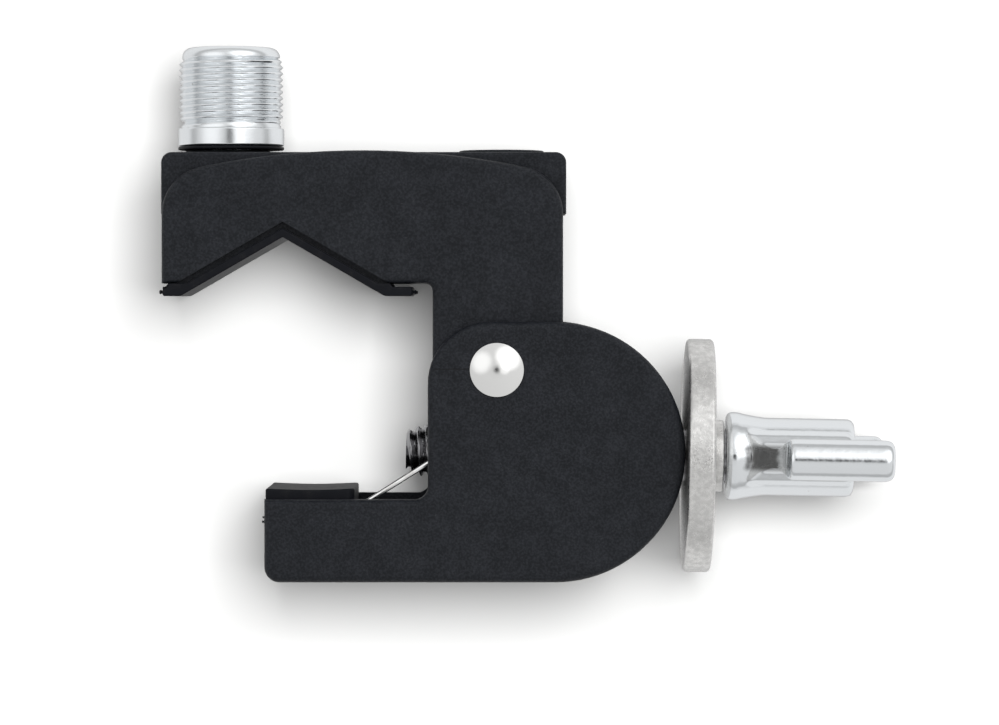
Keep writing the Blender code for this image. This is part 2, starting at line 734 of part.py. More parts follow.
def make_rod(steel, axis):
    """The threaded rod; its first ridges grow along the lead-in."""
    profile = [(0.0, ROD_START), (ROD_TIP_RADIUS - GAP, ROD_START)]
    for i in range(ROD_RIDGES):
        radius = ROD_TIP_RADIUS + (ROD_RADIUS - ROD_TIP_RADIUS) * (i + 1) / ROD_RIDGES
        profile += ridges(radius, ROD_PITCH, ROD_START + (i + 0.1) * ROD_PITCH, 1)[:-1]
    thread_end = ROD_START + (ROD_RIDGES + 0.1) * ROD_PITCH
    profile += [(ROD_RADIUS - 2 * GAP, thread_end), (ROD_RADIUS, thread_end + GAP)]
    profile += [(ROD_RADIUS, ROD_END), (0.0, ROD_END)]
    dress(along_screw(turned("screw_rod", profile, 28), axis), steel)


def make_nut(steel, axis):
    """The captive hexagon nut in the stem."""
    corner = NUT_ACROSS_FLATS / 2 / math.cos(math.radians(30))
    nut = cylinder("captive_nut", corner, NUT_START, NUT_START + NUT_LENGTH, PARTS, sides=6)
    bore = cylinder(
        "nut_bore", ROD_RADIUS + GAP, NUT_START - OVERLAP, NUT_START + NUT_LENGTH + OVERLAP
    )
    along_screw(bore, axis)
    cut(nut, bore)
    dress(along_screw(nut, axis), steel)


def make_disc(zinc, axis):
    """The thick disc that bears on the arm's heel, and the washer between it and the wing."""
    bore = ROD_RADIUS + GAP
    end = DISC_START + DISC_THICKNESS
    edge = DISC_RADIUS - DISC_CHAMFER
    profile = [(bore, DISC_START), (edge, DISC_START), (DISC_RADIUS, DISC_START + DISC_CHAMFER)]
    profile += [(DISC_RADIUS, end - DISC_CHAMFER), (edge, end), (bore, end), (bore, DISC_START)]
    dress(along_screw(turned("pressure_disc", profile, 48), axis), zinc)
    washer_start = end + GAP
    washer_profile = ring_profile(
        bore, COLLAR_RADIUS, washer_start, washer_start + COLLAR_THICKNESS
    )
    dress(along_screw(turned("wing_washer", washer_profile), axis), zinc)


def make_wing(chrome, axis):
    """The cast wing grip: a flanged barrel with a wing on each side, bored for the rod."""
    bore = ROD_RADIUS + GAP
    bore_end = ROD_END + GAP
    rim = WING_FLANGE_RADIUS - RIM_BEVEL
    profile = [(0.0, bore_end), (bore, bore_end), (bore, WING_START), (rim, WING_START)]
    profile += [(WING_FLANGE_RADIUS, WING_START + RIM_BEVEL), (WING_FLANGE_RADIUS, WING_FLANGE_END)]
    profile += [(WING_BARREL_RADIUS, WING_BARREL_START)]
    profile += [(WING_BARREL_RADIUS, WING_BARREL_END - RIM_BEVEL)]
    profile += [(WING_BARREL_RADIUS - RIM_BEVEL, WING_BARREL_END), (0.0, WING_BARREL_END)]
    grip = along_screw(turned("wing_grip", profile), axis)
    outline = rounded([
        (WING_FLANGE_END + MM, bore + OVERLAP, 0),
        (WING_BARREL_END - MM, bore + OVERLAP, 0),
        (WING_END, WING_RADIUS * 0.6, 2.0 * MM),
        (WING_END, WING_RADIUS, 2.5 * MM),
        (WING_TIP_START, WING_RADIUS, 1.5 * MM),
        (WING_TIP_START - MM, WING_RADIUS * 0.7, 2.0 * MM),
    ])
    for side, turn in (("near", 180.0), ("far", 0.0)):
        wing = plate(f"wing_{side}", outline, WING_HALF_THICKNESS, collection=CUTTERS)
        bevel_rims(wing, RIM_BEVEL)
        wing.parent = axis
        wing.rotation_euler = (math.radians(turn), 0.0, 0.0)
        join(grip, wing)
    dress(grip, chrome)


def spring_path():
    """Points of the return spring: the leg on the arm, the coil round the hinge and the hook."""
    points = [Vector((x, COIL_FRONT_Y, z)) for x, z in (LEG_END, LEG_BEND)]
    for i in range(COIL_TURNS * COIL_STEPS + 1):
        turn = i / COIL_STEPS
        angle = math.radians(180) - turn * math.tau
        points.append(Vector((
            COIL_RADIUS * math.cos(angle),
            COIL_FRONT_Y + turn * COIL_PITCH,
            PIVOT_Z + COIL_RADIUS * math.sin(angle),
        )))
    points.append(Vector((-COIL_RADIUS, points[-1].y, HOOK_TOP_Z)))
    return points


def make_spring(steel):
    """The torsion spring that opens the jaws."""
    curve = bpy.data.curves.new("return_spring", "CURVE")
    curve.dimensions = "3D"
    curve.bevel_depth = WIRE_RADIUS
    curve.bevel_resolution = 2
    curve.use_fill_caps = True
    spline = curve.splines.new("POLY")
    points = spring_path()
    spline.points.add(len(points) - 1)
    for spline_point, point in zip(spline.points, points):
        spline_point.co = (*point, 1.0)
    curve.materials.append(steel)
    spring = bpy.data.objects.new("return_spring", curve)
    PARTS.objects.link(spring)


def main():
    clear_scene()
    paint = finish("black_paint", (0.020, 0.021, 0.025), 0.55, 0.0)
    rubber = finish("black_rubber", (0.012, 0.012, 0.013), 0.75, 0.0)
    chrome = finish("chrome", (0.80, 0.81, 0.83), 0.12, 1.0)
    zinc = finish("zinc_plate", (0.62, 0.61, 0.60), 0.35, 1.0)
    steel = finish("steel", (0.55, 0.55, 0.57), 0.30, 1.0)
    screw_axis = screw_frame()
    make_upper_jaw(paint, screw_axis)
    make_lower_arm(paint)
    make_v_pad(rubber)
    make_lower_pad(rubber)
    make_hinge(chrome, steel)
    make_spring(steel)
    make_stud(chrome)
    make_stud_fastening(steel, rubber)
    make_rod(steel, screw_axis)
    make_nut(steel, screw_axis)
    make_disc(zinc, screw_axis)
    make_wing(chrome, screw_axis)


main()
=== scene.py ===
"""A microphone clamp: moulded jaws, rubber pads, a plated stud, a pressure disc and a wing screw.

Lengths are in metres. +X runs from the open jaws to the wing screw, +Z up the stud, and the hinge
pin lies along Y.
"""

from __future__ import annotations

import json
import logging
import math
from dataclasses import dataclass
from enum import Enum
from typing import Callable, Sequence

import bmesh
import bpy
from mathutils import Matrix, Vector


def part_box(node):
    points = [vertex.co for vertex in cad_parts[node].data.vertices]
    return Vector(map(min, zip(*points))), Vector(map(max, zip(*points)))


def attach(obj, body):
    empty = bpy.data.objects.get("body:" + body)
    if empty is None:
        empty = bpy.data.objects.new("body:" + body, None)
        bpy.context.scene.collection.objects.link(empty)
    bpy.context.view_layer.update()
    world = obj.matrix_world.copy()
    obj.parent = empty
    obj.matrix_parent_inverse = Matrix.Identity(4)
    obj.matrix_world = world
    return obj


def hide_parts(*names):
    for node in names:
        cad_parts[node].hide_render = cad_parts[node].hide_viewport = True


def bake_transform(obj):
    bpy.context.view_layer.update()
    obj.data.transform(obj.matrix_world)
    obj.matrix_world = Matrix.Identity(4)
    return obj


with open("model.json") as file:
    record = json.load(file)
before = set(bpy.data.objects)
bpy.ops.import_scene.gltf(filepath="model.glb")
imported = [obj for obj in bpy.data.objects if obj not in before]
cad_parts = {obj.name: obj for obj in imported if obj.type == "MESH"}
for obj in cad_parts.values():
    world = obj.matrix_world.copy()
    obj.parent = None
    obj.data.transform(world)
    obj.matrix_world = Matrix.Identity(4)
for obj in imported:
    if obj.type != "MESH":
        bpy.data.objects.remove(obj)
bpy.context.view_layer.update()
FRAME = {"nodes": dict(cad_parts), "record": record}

LOG = logging.getLogger("microphone_clamp")
MM = 0.001
WELD = 1e-6
SLIVER = 1e-7
SMOOTH_ANGLE = math.radians(32)
QUARTER_TURN = math.radians(90)

Point = tuple[float, float]
Corner = tuple[float, float, float]
Colour = tuple[float, float, float]

X_AXIS = (1.0, 0.0, 0.0)
Y_AXIS = (0.0, 1.0, 0.0)
Z_AXIS = (0.0, 0.0, 1.0)


class Body(Enum):
    """The rigid bodies that a piece can ride on."""

    ARM = "arm"
    JAW = "jaw"
    DISC = "disc"
    WING_SCREW = "wing_screw"


class Slot(Enum):
    """The finishes that the record lists."""

    BODY = "body"
    RUBBER = "rubber"
    CHROME = "chrome"
    ZINC = "zinc"
    STEEL = "steel"
    DARK_STEEL = "dark_steel"


# Shader graphs


class Value:
    """A shader socket that takes part in Python arithmetic."""

    def __init__(self, graph: Graph, socket: bpy.types.NodeSocket) -> None:
        """Remembers the graph and the socket."""
        self.graph = graph
        self.socket = socket

    def __add__(self, other: Number) -> Value:
        """self + other"""
        return self.graph.math("ADD", self, other)

    __radd__ = __add__

    def __mul__(self, other: Number) -> Value:
        """self * other"""
        return self.graph.math("MULTIPLY", self, other)

    __rmul__ = __mul__

    def __sub__(self, other: Number) -> Value:
        """self - other"""
        return self.graph.math("SUBTRACT", self, other)

    def __rsub__(self, other: Number) -> Value:
        """other - self"""
        return self.graph.math("SUBTRACT", other, self)

    def __abs__(self) -> Value:
        """abs(self)"""
        return self.graph.math("ABSOLUTE", self)


Number = float | Value
Input = float | Sequence[float] | Value


class Graph:
    """The node tree of a material or of the world."""

    def __init__(self, owner: bpy.types.Material | bpy.types.World) -> None:
        """Opens the node tree.

        Args:
            owner: a new material or world.
        """
        owner.use_nodes = True
        self.owner = owner
        self.tree = owner.node_tree
        self.shader = self.tree.nodes.get("Principled BSDF") or self.tree.nodes["Background"]

    @classmethod
    def of(cls, name: str) -> Graph:
        """The graph of a new material."""
        return cls(bpy.data.materials.new(name))

    def node(self, kind: str, settings: dict | None = None, **inputs: Input) -> bpy.types.Node:
        """Adds a node.

        Args:
            kind: the node's type without its ShaderNode prefix.
            settings: its properties, set first; "stops" holds a ramp's (position, colour) pairs.
            **inputs: values or links of its sockets, by name with _ for a space.

        Returns:
            The node.
        """
        node = self.tree.nodes.new(f"ShaderNode{kind}")
        for key, setting in (settings or {}).items():
            if key == "stops":
                self._set_stops(node, setting)
            else:
                setattr(node, key, setting)
        for key, value in inputs.items():
            name = key.replace("_", " ")
            self.feed(next(s for s in node.inputs if s.name == name and s.enabled), value)
        return node

    @staticmethod
    def _set_stops(node: bpy.types.Node, stops: Sequence[tuple[float, Sequence[float]]]) -> None:
        """Gives a ramp its stops."""
        elements = node.color_ramp.elements
        while len(elements) < len(stops):
            elements.new(1.0)
        for element, (position, colour) in zip(elements, stops):
            element.position = position
            element.color = (*colour, 1.0)

    def feed(self, socket: bpy.types.NodeSocket, value: Input) -> None:
        """Sets or links a socket.

        Args:
            socket: the input.
            value: a number, a colour or vector, or a Value to link.
        """
        if isinstance(value, Value):
            self.tree.links.new(value.socket, socket)
        elif socket.type == "RGBA" and len(value) == 3:
            socket.default_value = (*value, 1.0)
        else:
            socket.default_value = value

    def output(self, node: bpy.types.Node, name: str) -> Value:
        """A node's output by name."""
        return Value(self, next(s for s in node.outputs if s.name == name and s.enabled))

    def math(self, operation: str, *values: Number) -> Value:
        """Adds a Math node.

        Args:
            operation: the node's operation.
            *values: its inputs.

        Returns:
            The result.
        """
        node = self.node("Math", {"operation": operation})
        for socket, value in zip(node.inputs, values):
            self.feed(socket, value)
        return Value(self, node.outputs[0])

    def place(self, stretch: Sequence[float] = (1.0, 1.0, 1.0)) -> Value:
        """Object coordinates in millimetres, stretched along each axis."""
        coords = self.output(self.node("TexCoord"), "Object")
        scale = tuple(1000.0 * factor for factor in stretch)
        node = self.node("VectorMath", {"operation": "MULTIPLY"})
        self.feed(node.inputs[0], coords)
        self.feed(node.inputs[1], scale)
        return Value(self, node.outputs[0])

    def along(self, axis: Sequence[float]) -> Value:
        """How far a point lies along an axis, in millimetres."""
        return self.dot(self.place(), axis)

    def noise(
        self, size: float, detail: float = 3.0, stretch: Sequence[float] = (1.0, 1.0, 1.0)
    ) -> Value:
        """Cloudy noise from 0 to 1.

        Args:
            size: the size of its features, in millimetres.
            detail: its octaves.
            stretch: how much finer it is along each axis.

        Returns:
            The noise.
        """
        node = self.node("TexNoise", Vector=self.place(stretch), Scale=1.0 / size, Detail=detail)
        return Value(self, node.outputs[0])

    def spots(self, spacing: float, radius: float) -> Value:
        """Round spots, 1 inside and 0 outside.

        Args:
            spacing: the distance between them, in millimetres.
            radius: their radius as a share of the spacing.

        Returns:
            The mask.
        """
        node = self.node("TexVoronoi", Vector=self.place(), Scale=1.0 / spacing)
        return self.span(self.output(node, "Distance"), radius, radius * 0.6)

    def span(self, value: Value, low: float, high: float) -> Value:
        """0 where value is at low and 1 where it is at high, smooth between them."""
        settings = {"interpolation_type": "SMOOTHSTEP", "clamp": True}
        node = self.node("MapRange", settings, Value=value, From_Min=low, From_Max=high)
        return self.output(node, "Result")

    def mix(self, factor: Number, first: Colour | Value, second: Colour | Value) -> Value:
        """A colour between two others."""
        node = self.node("Mix", {"data_type": "RGBA"})
        for socket, value in zip([s for s in node.inputs if s.enabled], (factor, first, second)):
            self.feed(socket, value)
        return self.output(node, "Result")

    def edges(self, radius: float) -> Value:
        """A mask of the edges: 1 on a sharp edge, falling to 0 within the radius."""
        bevel = self.output(self.node("Bevel", {"samples": 6}, Radius=radius), "Normal")
        normal = self.output(self.node("NewGeometry"), "Normal")
        return self.span(self.dot(bevel, normal), 0.995, 0.8)

    def dot(self, first: Value, second: Value | Sequence[float]) -> Value:
        """The dot product of two vectors."""
        node = self.node("VectorMath", {"operation": "DOT_PRODUCT"})
        self.feed(node.inputs[0], first)
        self.feed(node.inputs[1], second)
        return self.output(node, "Value")

    def ramp(self, value: Value, stops: Sequence[tuple[float, float]]) -> Value:
        """A grey ramp.

        Args:
            value: where on the ramp, from 0 to 1.
            stops: (position, grey) pairs.

        Returns:
            The grey.
        """
        greys = [(position, (grey, grey, grey)) for position, grey in stops]
        return self.output(self.node("ValToRGB", {"stops": greys}, Fac=value), "Color")

    def bump(self, height: Value, depth: float, strength: float) -> Value:
        """A bumped normal; depth is the height of a full step, in metres."""
        node = self.node("Bump", Height=height, Distance=depth, Strength=strength)
        return self.output(node, "Normal")

    def dress(self, **inputs: Input) -> bpy.types.Material:
        """Sets the main shader's sockets and returns the material."""
        for key, value in inputs.items():
            self.feed(self.shader.inputs[key.replace("_", " ")], value)
        return self.owner


# Finishes


@dataclass(frozen=True)
class MouldedNylon:
    """Black glass-filled nylon: a matt, finely speckled skin, paler along its edges."""

    name: str = "moulded_nylon"
    colour: Colour = (0.0022, 0.0033, 0.0055)
    speck: Colour = (0.0180, 0.0200, 0.0252)
    fleck: Colour = (0.0280, 0.0292, 0.0325)
    edge: Colour = (0.0240, 0.0255, 0.0290)
    seam: Colour = (0.001, 0.001, 0.0015)

    def material(self) -> bpy.types.Material:
        """Builds the material."""
        return self.dressed(Graph.of(self.name), None)

    def dressed(self, graph: Graph, line: Value | None) -> bpy.types.Material:
        """Dresses the shader.

        Args:
            graph: the material's graph.
            line: a mask of a fine sunken line, or None.

        Returns:
            The material.
        """
        cloud = graph.span(graph.noise(3.4, 5.0), 0.38, 0.66)
        speckle = graph.span(graph.noise(0.32, 3.0), 0.36, 0.68)
        fleck = graph.span(graph.noise(0.36, 1.0), 0.66, 0.76)
        skin = graph.mix(cloud * 0.22 + speckle * 0.55, self.colour, self.speck)
        skin = graph.mix(fleck * (cloud * 0.5 + 0.1), skin, self.fleck)
        worn = graph.edges(0.45 * MM) * graph.span(graph.noise(1.1, 3.0), 0.3, 0.6)
        grain = speckle * 0.8 + graph.noise(0.13, 2.0) * 0.4 + graph.noise(0.9, 3.0) * 0.9
        tone = graph.mix(worn * 0.45, skin, self.edge)
        if line is not None:
            tone = graph.mix(line * 0.8, tone, self.seam)
            grain = grain - line * 1.5
        return graph.dress(
            Base_Color=tone,
            Roughness=0.52 + cloud * 0.08 - speckle * 0.06,
            Specular_IOR_Level=0.24,
            Normal=graph.bump(grain, 0.045 * MM, 0.5),
        )


@dataclass(frozen=True)
class ArmNylon(MouldedNylon):
    """The arm's nylon, with the knit line where the melt closed round the hinge hole."""

    name: str = "moulded_nylon_arm"
    line_height: float = 32.1
    line_half: float = 0.07
    line_ends: tuple[float, float] = (-9.2, -4.0)

    def material(self) -> bpy.types.Material:
        """Builds the material."""
        graph = Graph.of(self.name)
        wander = (graph.noise(1.2, 2.0) - 0.5) * 0.25
        off = abs(graph.along(Z_AXIS) + wander - self.line_height)
        thin = graph.span(off, self.line_half * 1.8, self.line_half * 0.6)
        across = graph.along(X_AXIS)
        start, end = self.line_ends
        inside = graph.span(across, start - 0.6, start) * graph.span(across, end + 0.3, end)
        return self.dressed(graph, thin * inside)


@dataclass(frozen=True)
class MouldedRubber:
    """Black rubber with a satin skin, dusty in its hollows."""

    colour: Colour = (0.0050, 0.0056, 0.0078)
    dust: Colour = (0.028, 0.027, 0.026)

    def material(self) -> bpy.types.Material:
        """Builds the material."""
        graph = Graph.of("moulded_rubber")
        hollows = graph.span(graph.noise(1.6, 5.0), 0.48, 0.75)
        dusty = hollows * graph.span(graph.noise(0.2), 0.35, 0.7)
        grain = graph.noise(0.12, 2.0) + graph.noise(0.9, 3.0) * 0.8
        return graph.dress(
            Base_Color=graph.mix(dusty * 0.45, self.colour, self.dust),
            Roughness=0.46 + dusty * 0.25,
            Specular_IOR_Level=0.11,
            Normal=graph.bump(grain, 0.04 * MM, 0.4),
        )


@dataclass(frozen=True)
class Hollow:
    """Painted shade in the hollow between a screw's barrel and its wings, mixed into the plate's
    colour.

    Lengths are in millimetres; a pair is where the painted shade ends and where it is full.
    """

    from_screw: float = 7.7
    along_screw: float = 41.0
    reach: Point = (2.2, 1.2)
    length: Point = (3.6, 2.6)
    thickness: Point = (2.4, 1.4)
    strength: float = 0.85
    # the colour of the painted shade
    darker_tone: Colour = (0.07, 0.068, 0.066)

    def mask(self, graph: Graph) -> Value:
        """How strong the painted shade is, on a piece whose wings lie along its X."""
        wander = (graph.noise(1.1, 3.0) - 0.5) * 0.9
        off = abs(abs(graph.along(X_AXIS)) - self.from_screw) + wander
        level = abs(graph.along(Z_AXIS) - self.along_screw) + wander
        inside = graph.span(off, *self.reach) * graph.span(level, *self.length)
        return inside * graph.span(abs(graph.along(Y_AXIS)), *self.thickness) * self.strength


@dataclass(frozen=True)
class BrightPlate:
    """Nickel-chrome plate over a die casting: bright, with faint waves and dark pits."""

    name: str = "bright_plate"
    colour: Colour = (0.83, 0.855, 0.875)
    pit: Colour = (0.16, 0.13, 0.10)
    roughness: float = 0.07
    waves: float = 0.05
    pits: float = 0.045
    # painted shade for a hollow, if any
    hollow: Hollow | None = None

    def material(self) -> bpy.types.Material:
        """Builds the material."""
        graph = Graph.of(self.name)
        cloud = graph.noise(2.8, 3.0)
        pitted = graph.spots(1.7, self.pits) * graph.span(graph.noise(3.5), 0.5, 0.62)
        ripple = graph.noise(1.3, 2.0) * self.waves + graph.noise(0.3, 2.0) * self.waves * 0.12
        tone = graph.mix(pitted, self.colour, self.pit)
        if self.hollow:
            # painted shade: the plate turns darker in the hollow between the barrel and the wings
            tone = graph.mix(self.hollow.mask(graph), tone, self.hollow.darker_tone)
        return graph.dress(
            Base_Color=tone,
            Metallic=1.0,
            Roughness=self.roughness + cloud * 0.07 + pitted * 0.3,
            Normal=graph.bump(ripple - pitted * 0.04, MM, 0.55),
        )


@dataclass(frozen=True)
class ZincPlate:
    """Dull zinc plate on stamped steel: mottled greys with small dark dents."""

    light: Colour = (0.80, 0.795, 0.78)
    dark: Colour = (0.60, 0.595, 0.585)
    dent: Colour = (0.08, 0.075, 0.07)

    def material(self) -> bpy.types.Material:
        """Builds the material."""
        graph = Graph.of("zinc_plate")
        mottle = graph.span(graph.noise(0.9, 5.0), 0.32, 0.68)
        speck = graph.span(graph.noise(0.28, 3.0), 0.4, 0.7)
        dented = graph.spots(4.2, 0.07) * graph.span(graph.noise(5.0), 0.45, 0.6)
        tone = graph.mix(mottle * 0.65 + speck * 0.3, self.dark, self.light)
        relief = speck * 0.5 + graph.noise(0.8, 3.0) - dented * 1.5
        return graph.dress(
            Base_Color=graph.mix(dented, tone, self.dent),
            Metallic=1.0,
            Roughness=0.36 - mottle * 0.12 + speck * 0.1,
            Normal=graph.bump(relief, 0.05 * MM, 0.5),
        )


@dataclass(frozen=True)
class BrightSteel:
    """Turned or drawn steel: fine marks round or along the piece."""

    name: str
    colour: Colour
    darker_tone: Colour
    roughness: float
    grain: tuple[float, float, float] = (1.0, 1.0, 6.0)

    def material(self) -> bpy.types.Material:
        """Builds the material."""
        graph = Graph.of(self.name)
        marks = graph.noise(0.5, 4.0, self.grain)
        stain = graph.span(graph.noise(1.8, 4.0), 0.45, 0.7)
        return graph.dress(
            Base_Color=graph.mix(stain * 0.7, self.colour, self.darker_tone),
            Metallic=1.0,
            Roughness=self.roughness + marks * 0.12 + stain * 0.1,
            Normal=graph.bump(marks, 0.02 * MM, 0.5),
        )


@dataclass(frozen=True)
class Finishes:
    """Every finish of the clamp, made once."""

    nylon: bpy.types.Material
    arm_nylon: bpy.types.Material
    rubber: bpy.types.Material
    chrome: bpy.types.Material
    nickel: bpy.types.Material
    stud: bpy.types.Material
    zinc: bpy.types.Material
    steel: bpy.types.Material
    wire: bpy.types.Material
    thread: bpy.types.Material

    @classmethod
    def make(cls) -> Finishes:
        """Builds the materials."""
        return cls(
            nylon=MouldedNylon().material(),
            arm_nylon=ArmNylon().material(),
            rubber=MouldedRubber().material(),
            # the grip's plate, with painted shade in the hollow under its wings
            chrome=BrightPlate(hollow=Hollow()).material(),
            nickel=BrightPlate("nickel_plate", (0.86, 0.86, 0.85), waves=0.02).material(),
            stud=BrightPlate("stud_plate", roughness=0.15, waves=0.02, pits=0.09).material(),
            zinc=ZincPlate().material(),
            steel=BrightSteel("turned_steel", (0.60, 0.60, 0.61), (0.42, 0.41, 0.40), 0.24).material(),
            wire=BrightSteel("spring_wire", (0.88, 0.88, 0.88), (0.70, 0.69, 0.67), 0.16).material(),
            thread=BrightSteel("oiled_thread", (0.30, 0.30, 0.31), (0.06, 0.06, 0.06), 0.12).material(),
        )


# Outlines


def arc(centre: Point, radius: float, start: float, end: float, steps: int) -> list[Point]:
    """Points along an arc.

    Args:
        centre: the arc's centre.
        radius: its radius.
        start: the first angle, in degrees.
        end: the last angle, in degrees.
        steps: how many straight stretches it has.

    Returns:
        The points, both ends included.
    """
    angles = [math.radians(start + (end - start) * i / steps) for i in range(steps + 1)]
    return [(centre[0] + radius * math.cos(a), centre[1] + radius * math.sin(a)) for a in angles]


def fillet(before: Point, corner: Point, after: Point, radius: float, steps: int = 8) -> list[Point]:
    """The arc that rounds a corner.

    Args:
        before: a point on the side that comes in.
        corner: the corner.
        after: a point on the side that goes out.
        radius: the arc's radius.
        steps: how many straight stretches it has.

    Returns:
        The arc's points.
    """
    point = Vector(corner)
    one = (Vector(before) - point).normalized()
    two = (Vector(after) - point).normalized()
    half = one.angle(two) / 2
    centre = point + (one + two).normalized() * (radius / math.sin(half))
    first = point + one * (radius / math.tan(half)) - centre
    turn = first.angle_signed(point + two * (radius / math.tan(half)) - centre)
    points = []
    for i in range(steps + 1):
        offset = first.copy()
        offset.rotate(Matrix.Rotation(-turn * i / steps, 2))
        points.append(tuple(centre + offset))
    return points


def rounded(corners: Sequence[Corner], steps: int = 8) -> list[Point]:
    """A closed outline from (x, z, radius) corners; a radius of 0 keeps the corner sharp."""
    points: list[Point] = []
    for i, (x, z, radius) in enumerate(corners):
        before, after = corners[i - 1][:2], corners[(i + 1) % len(corners)][:2]
        points += fillet(before, (x, z), after, radius, steps) if radius else [(x, z)]
    return points


# Solids


def solid(name: str, bm: bmesh.types.BMesh) -> bpy.types.Object:
    """An object from a bmesh, with its faces turned outward."""
    bmesh.ops.remove_doubles(bm, verts=bm.verts, dist=WELD)
    bmesh.ops.recalc_face_normals(bm, faces=bm.faces)
    mesh = bpy.data.meshes.new(name)
    bm.to_mesh(mesh)
    bm.free()
    obj = bpy.data.objects.new(name, mesh)
    bpy.context.scene.collection.objects.link(obj)
    return obj


def slab(
    name: str, outline: Sequence[Point], half_width: float, rim: float = 0.0, centre: float = 0.0
) -> bpy.types.Object:
    """A plate standing across Y, with rounded rims.

    Args:
        name: the object's name.
        outline: its closed outline of (x, z) points.
        half_width: half its width along Y.
        rim: the radius of the rims, or 0 for sharp ones.
        centre: where its middle lies along Y.

    Returns:
        The plate.
    """
    bm = bmesh.new()
    face = bm.faces.new([bm.verts.new((x, centre - half_width, z)) for x, z in outline])
    pulled = bmesh.ops.extrude_face_region(bm, geom=[face])["geom"]
    moved = [part for part in pulled if isinstance(part, bmesh.types.BMVert)]
    bmesh.ops.translate(bm, verts=moved, vec=(0.0, 2 * half_width, 0.0))
    if rim:
        ends = [e for e in bm.edges if abs(e.verts[0].co.y - e.verts[1].co.y) < WELD]
        bmesh.ops.bevel(
            bm, geom=ends, offset=rim, segments=5, profile=0.5, affect="EDGES", clamp_overlap=False
        )
    return solid(name, bm)


def lathe(
    name: str,
    profile: Sequence[Point],
    steps: int = 96,
    shape: Callable[[float, float, float], float] | None = None,
) -> bpy.types.Object:
    """A piece turned about Z.

    Args:
        name: the object's name.
        profile: (radius, height) points, on the axis at both ends or closed on itself.
        steps: how many stretches make the full turn.
        shape: the radius from (radius, height, angle), for a thread.

    Returns:
        The piece.
    """
    bm = bmesh.new()
    rings = []
    for radius, height in profile:
        ring = []
        for i in range(steps):
            angle = math.tau * i / steps
            r = shape(radius, height, angle) if shape else radius
            ring.append(bm.verts.new((r * math.cos(angle), r * math.sin(angle), height)))
        rings.append(ring)
    for low, high in zip(rings, rings[1:]):
        for i in range(steps):
            j = (i + 1) % steps
            bm.faces.new((low[i], low[j], high[j], high[i]))
    return solid(name, bm)


def bar(name: str, radius: float, low: float, high: float, steps: int) -> bpy.types.Object:
    """A plain bar about Z to cut with; six steps make a hexagon.

    Args:
        name: the object's name.
        radius: its radius, out to its corners.
        low: the height of its lower end.
        high: the height of its upper end.
        steps: how many sides it has.

    Returns:
        The bar.
    """
    return lathe(name, [(0.0, low), (radius, low), (radius, high), (0.0, high)], steps)


def ring(
    name: str, inner: float, outer: float, low: float, high: float, edge: float
) -> bpy.types.Object:
    """A flat ring about Z with rounded outer edges.

    Args:
        name: the object's name.
        inner: the radius of its hole.
        outer: its outer radius.
        low: the height of its lower face.
        high: the height of its upper face.
        edge: the radius of its outer edges.

    Returns:
        The ring.
    """
    profile = [(inner, low)]
    profile += arc((outer - edge, low + edge), edge, -90, 0, 5)
    profile += arc((outer - edge, high - edge), edge, 0, 90, 5)
    profile += [(inner, high), (inner, low)]
    return lathe(name, profile)


def combine(target: bpy.types.Object, tool: bpy.types.Object, operation: str) -> None:
    """Joins or cuts a piece with another, which is used up.

    Args:
        target: the piece that changes.
        tool: the piece that is used up.
        operation: UNION, DIFFERENCE or INTERSECT.
    """
    modifier = target.modifiers.new(operation.lower(), "BOOLEAN")
    modifier.operation = operation
    modifier.object = tool
    settle(target)
    bpy.data.objects.remove(tool)


def settle(obj: bpy.types.Object) -> None:
    """Replaces an object's mesh by what its modifiers make of it, without slivers and pinholes."""
    bpy.context.view_layer.update()
    graph = bpy.context.evaluated_depsgraph_get()
    made = bpy.data.meshes.new_from_object(obj.evaluated_get(graph))
    bm = bmesh.new()
    bm.from_mesh(made)
    bmesh.ops.dissolve_degenerate(bm, edges=bm.edges, dist=SLIVER)
    bmesh.ops.holes_fill(bm, edges=[edge for edge in bm.edges if edge.is_boundary], sides=0)
    bm.to_mesh(made)
    bm.free()
    obj.modifiers.clear()
    obj.data = made


@dataclass
class Workshop:
    """Hands each finished piece to the frame."""

    finishes: Finishes

    def hand_over(
        self,
        piece: bpy.types.Object,
        body: Body,
        material: bpy.types.Material,
        nodes: Sequence[str],
    ) -> None:
        """Shades a piece, dresses it and lets it stand for its CAD nodes.

        Args:
            piece: the piece, in place.
            body: the body that it rides on.
            material: its material.
            nodes: the CAD nodes that it stands for.
        """
        self.shade(piece, material)
        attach(piece, body.value)
        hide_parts(*nodes)
        LOG.info("%s rides on %s", piece.name, body.value)

    @staticmethod
    def shade(piece: bpy.types.Object, material: bpy.types.Material) -> None:
        """Gives a piece one material and smooth shading that keeps flat faces flat."""
        piece.data.materials.clear()
        piece.data.materials.append(material)
        piece.data.shade_smooth()
        piece.data.set_sharp_from_angle(angle=SMOOTH_ANGLE)
        weighted = piece.modifiers.new("even_normals", "WEIGHTED_NORMAL")
        weighted.keep_sharp = True

    def keep(self, node: str, material: bpy.types.Material) -> None:
        """Gives a CAD node that is right as it is a better material."""
        obj = FRAME["nodes"][node]
        obj.data.materials.clear()
        obj.data.materials.append(material)
        LOG.info("%s keeps its CAD shape", node)


def joint(name: str) -> dict:
    """A joint of the record by name."""
    return next(j for j in FRAME["record"]["behaviour"]["joints"] if j["name"] == name)


HINGE = Vector(joint("jaw_hinge")["pos_m"])
SCREW_ORIGIN = Vector(joint("screw_turn")["pos_m"])
SCREW_AXIS = Vector(joint("screw_turn")["axis"])


def along_screw(obj: bpy.types.Object) -> bpy.types.Object:
    """Lays a piece turned about Z along the wing screw, pointing away from the jaws."""
    turn = SCREW_AXIS.to_track_quat("Z", "Y").to_matrix().to_4x4()
    obj.matrix_world = Matrix.Translation(SCREW_ORIGIN) @ turn
    return obj


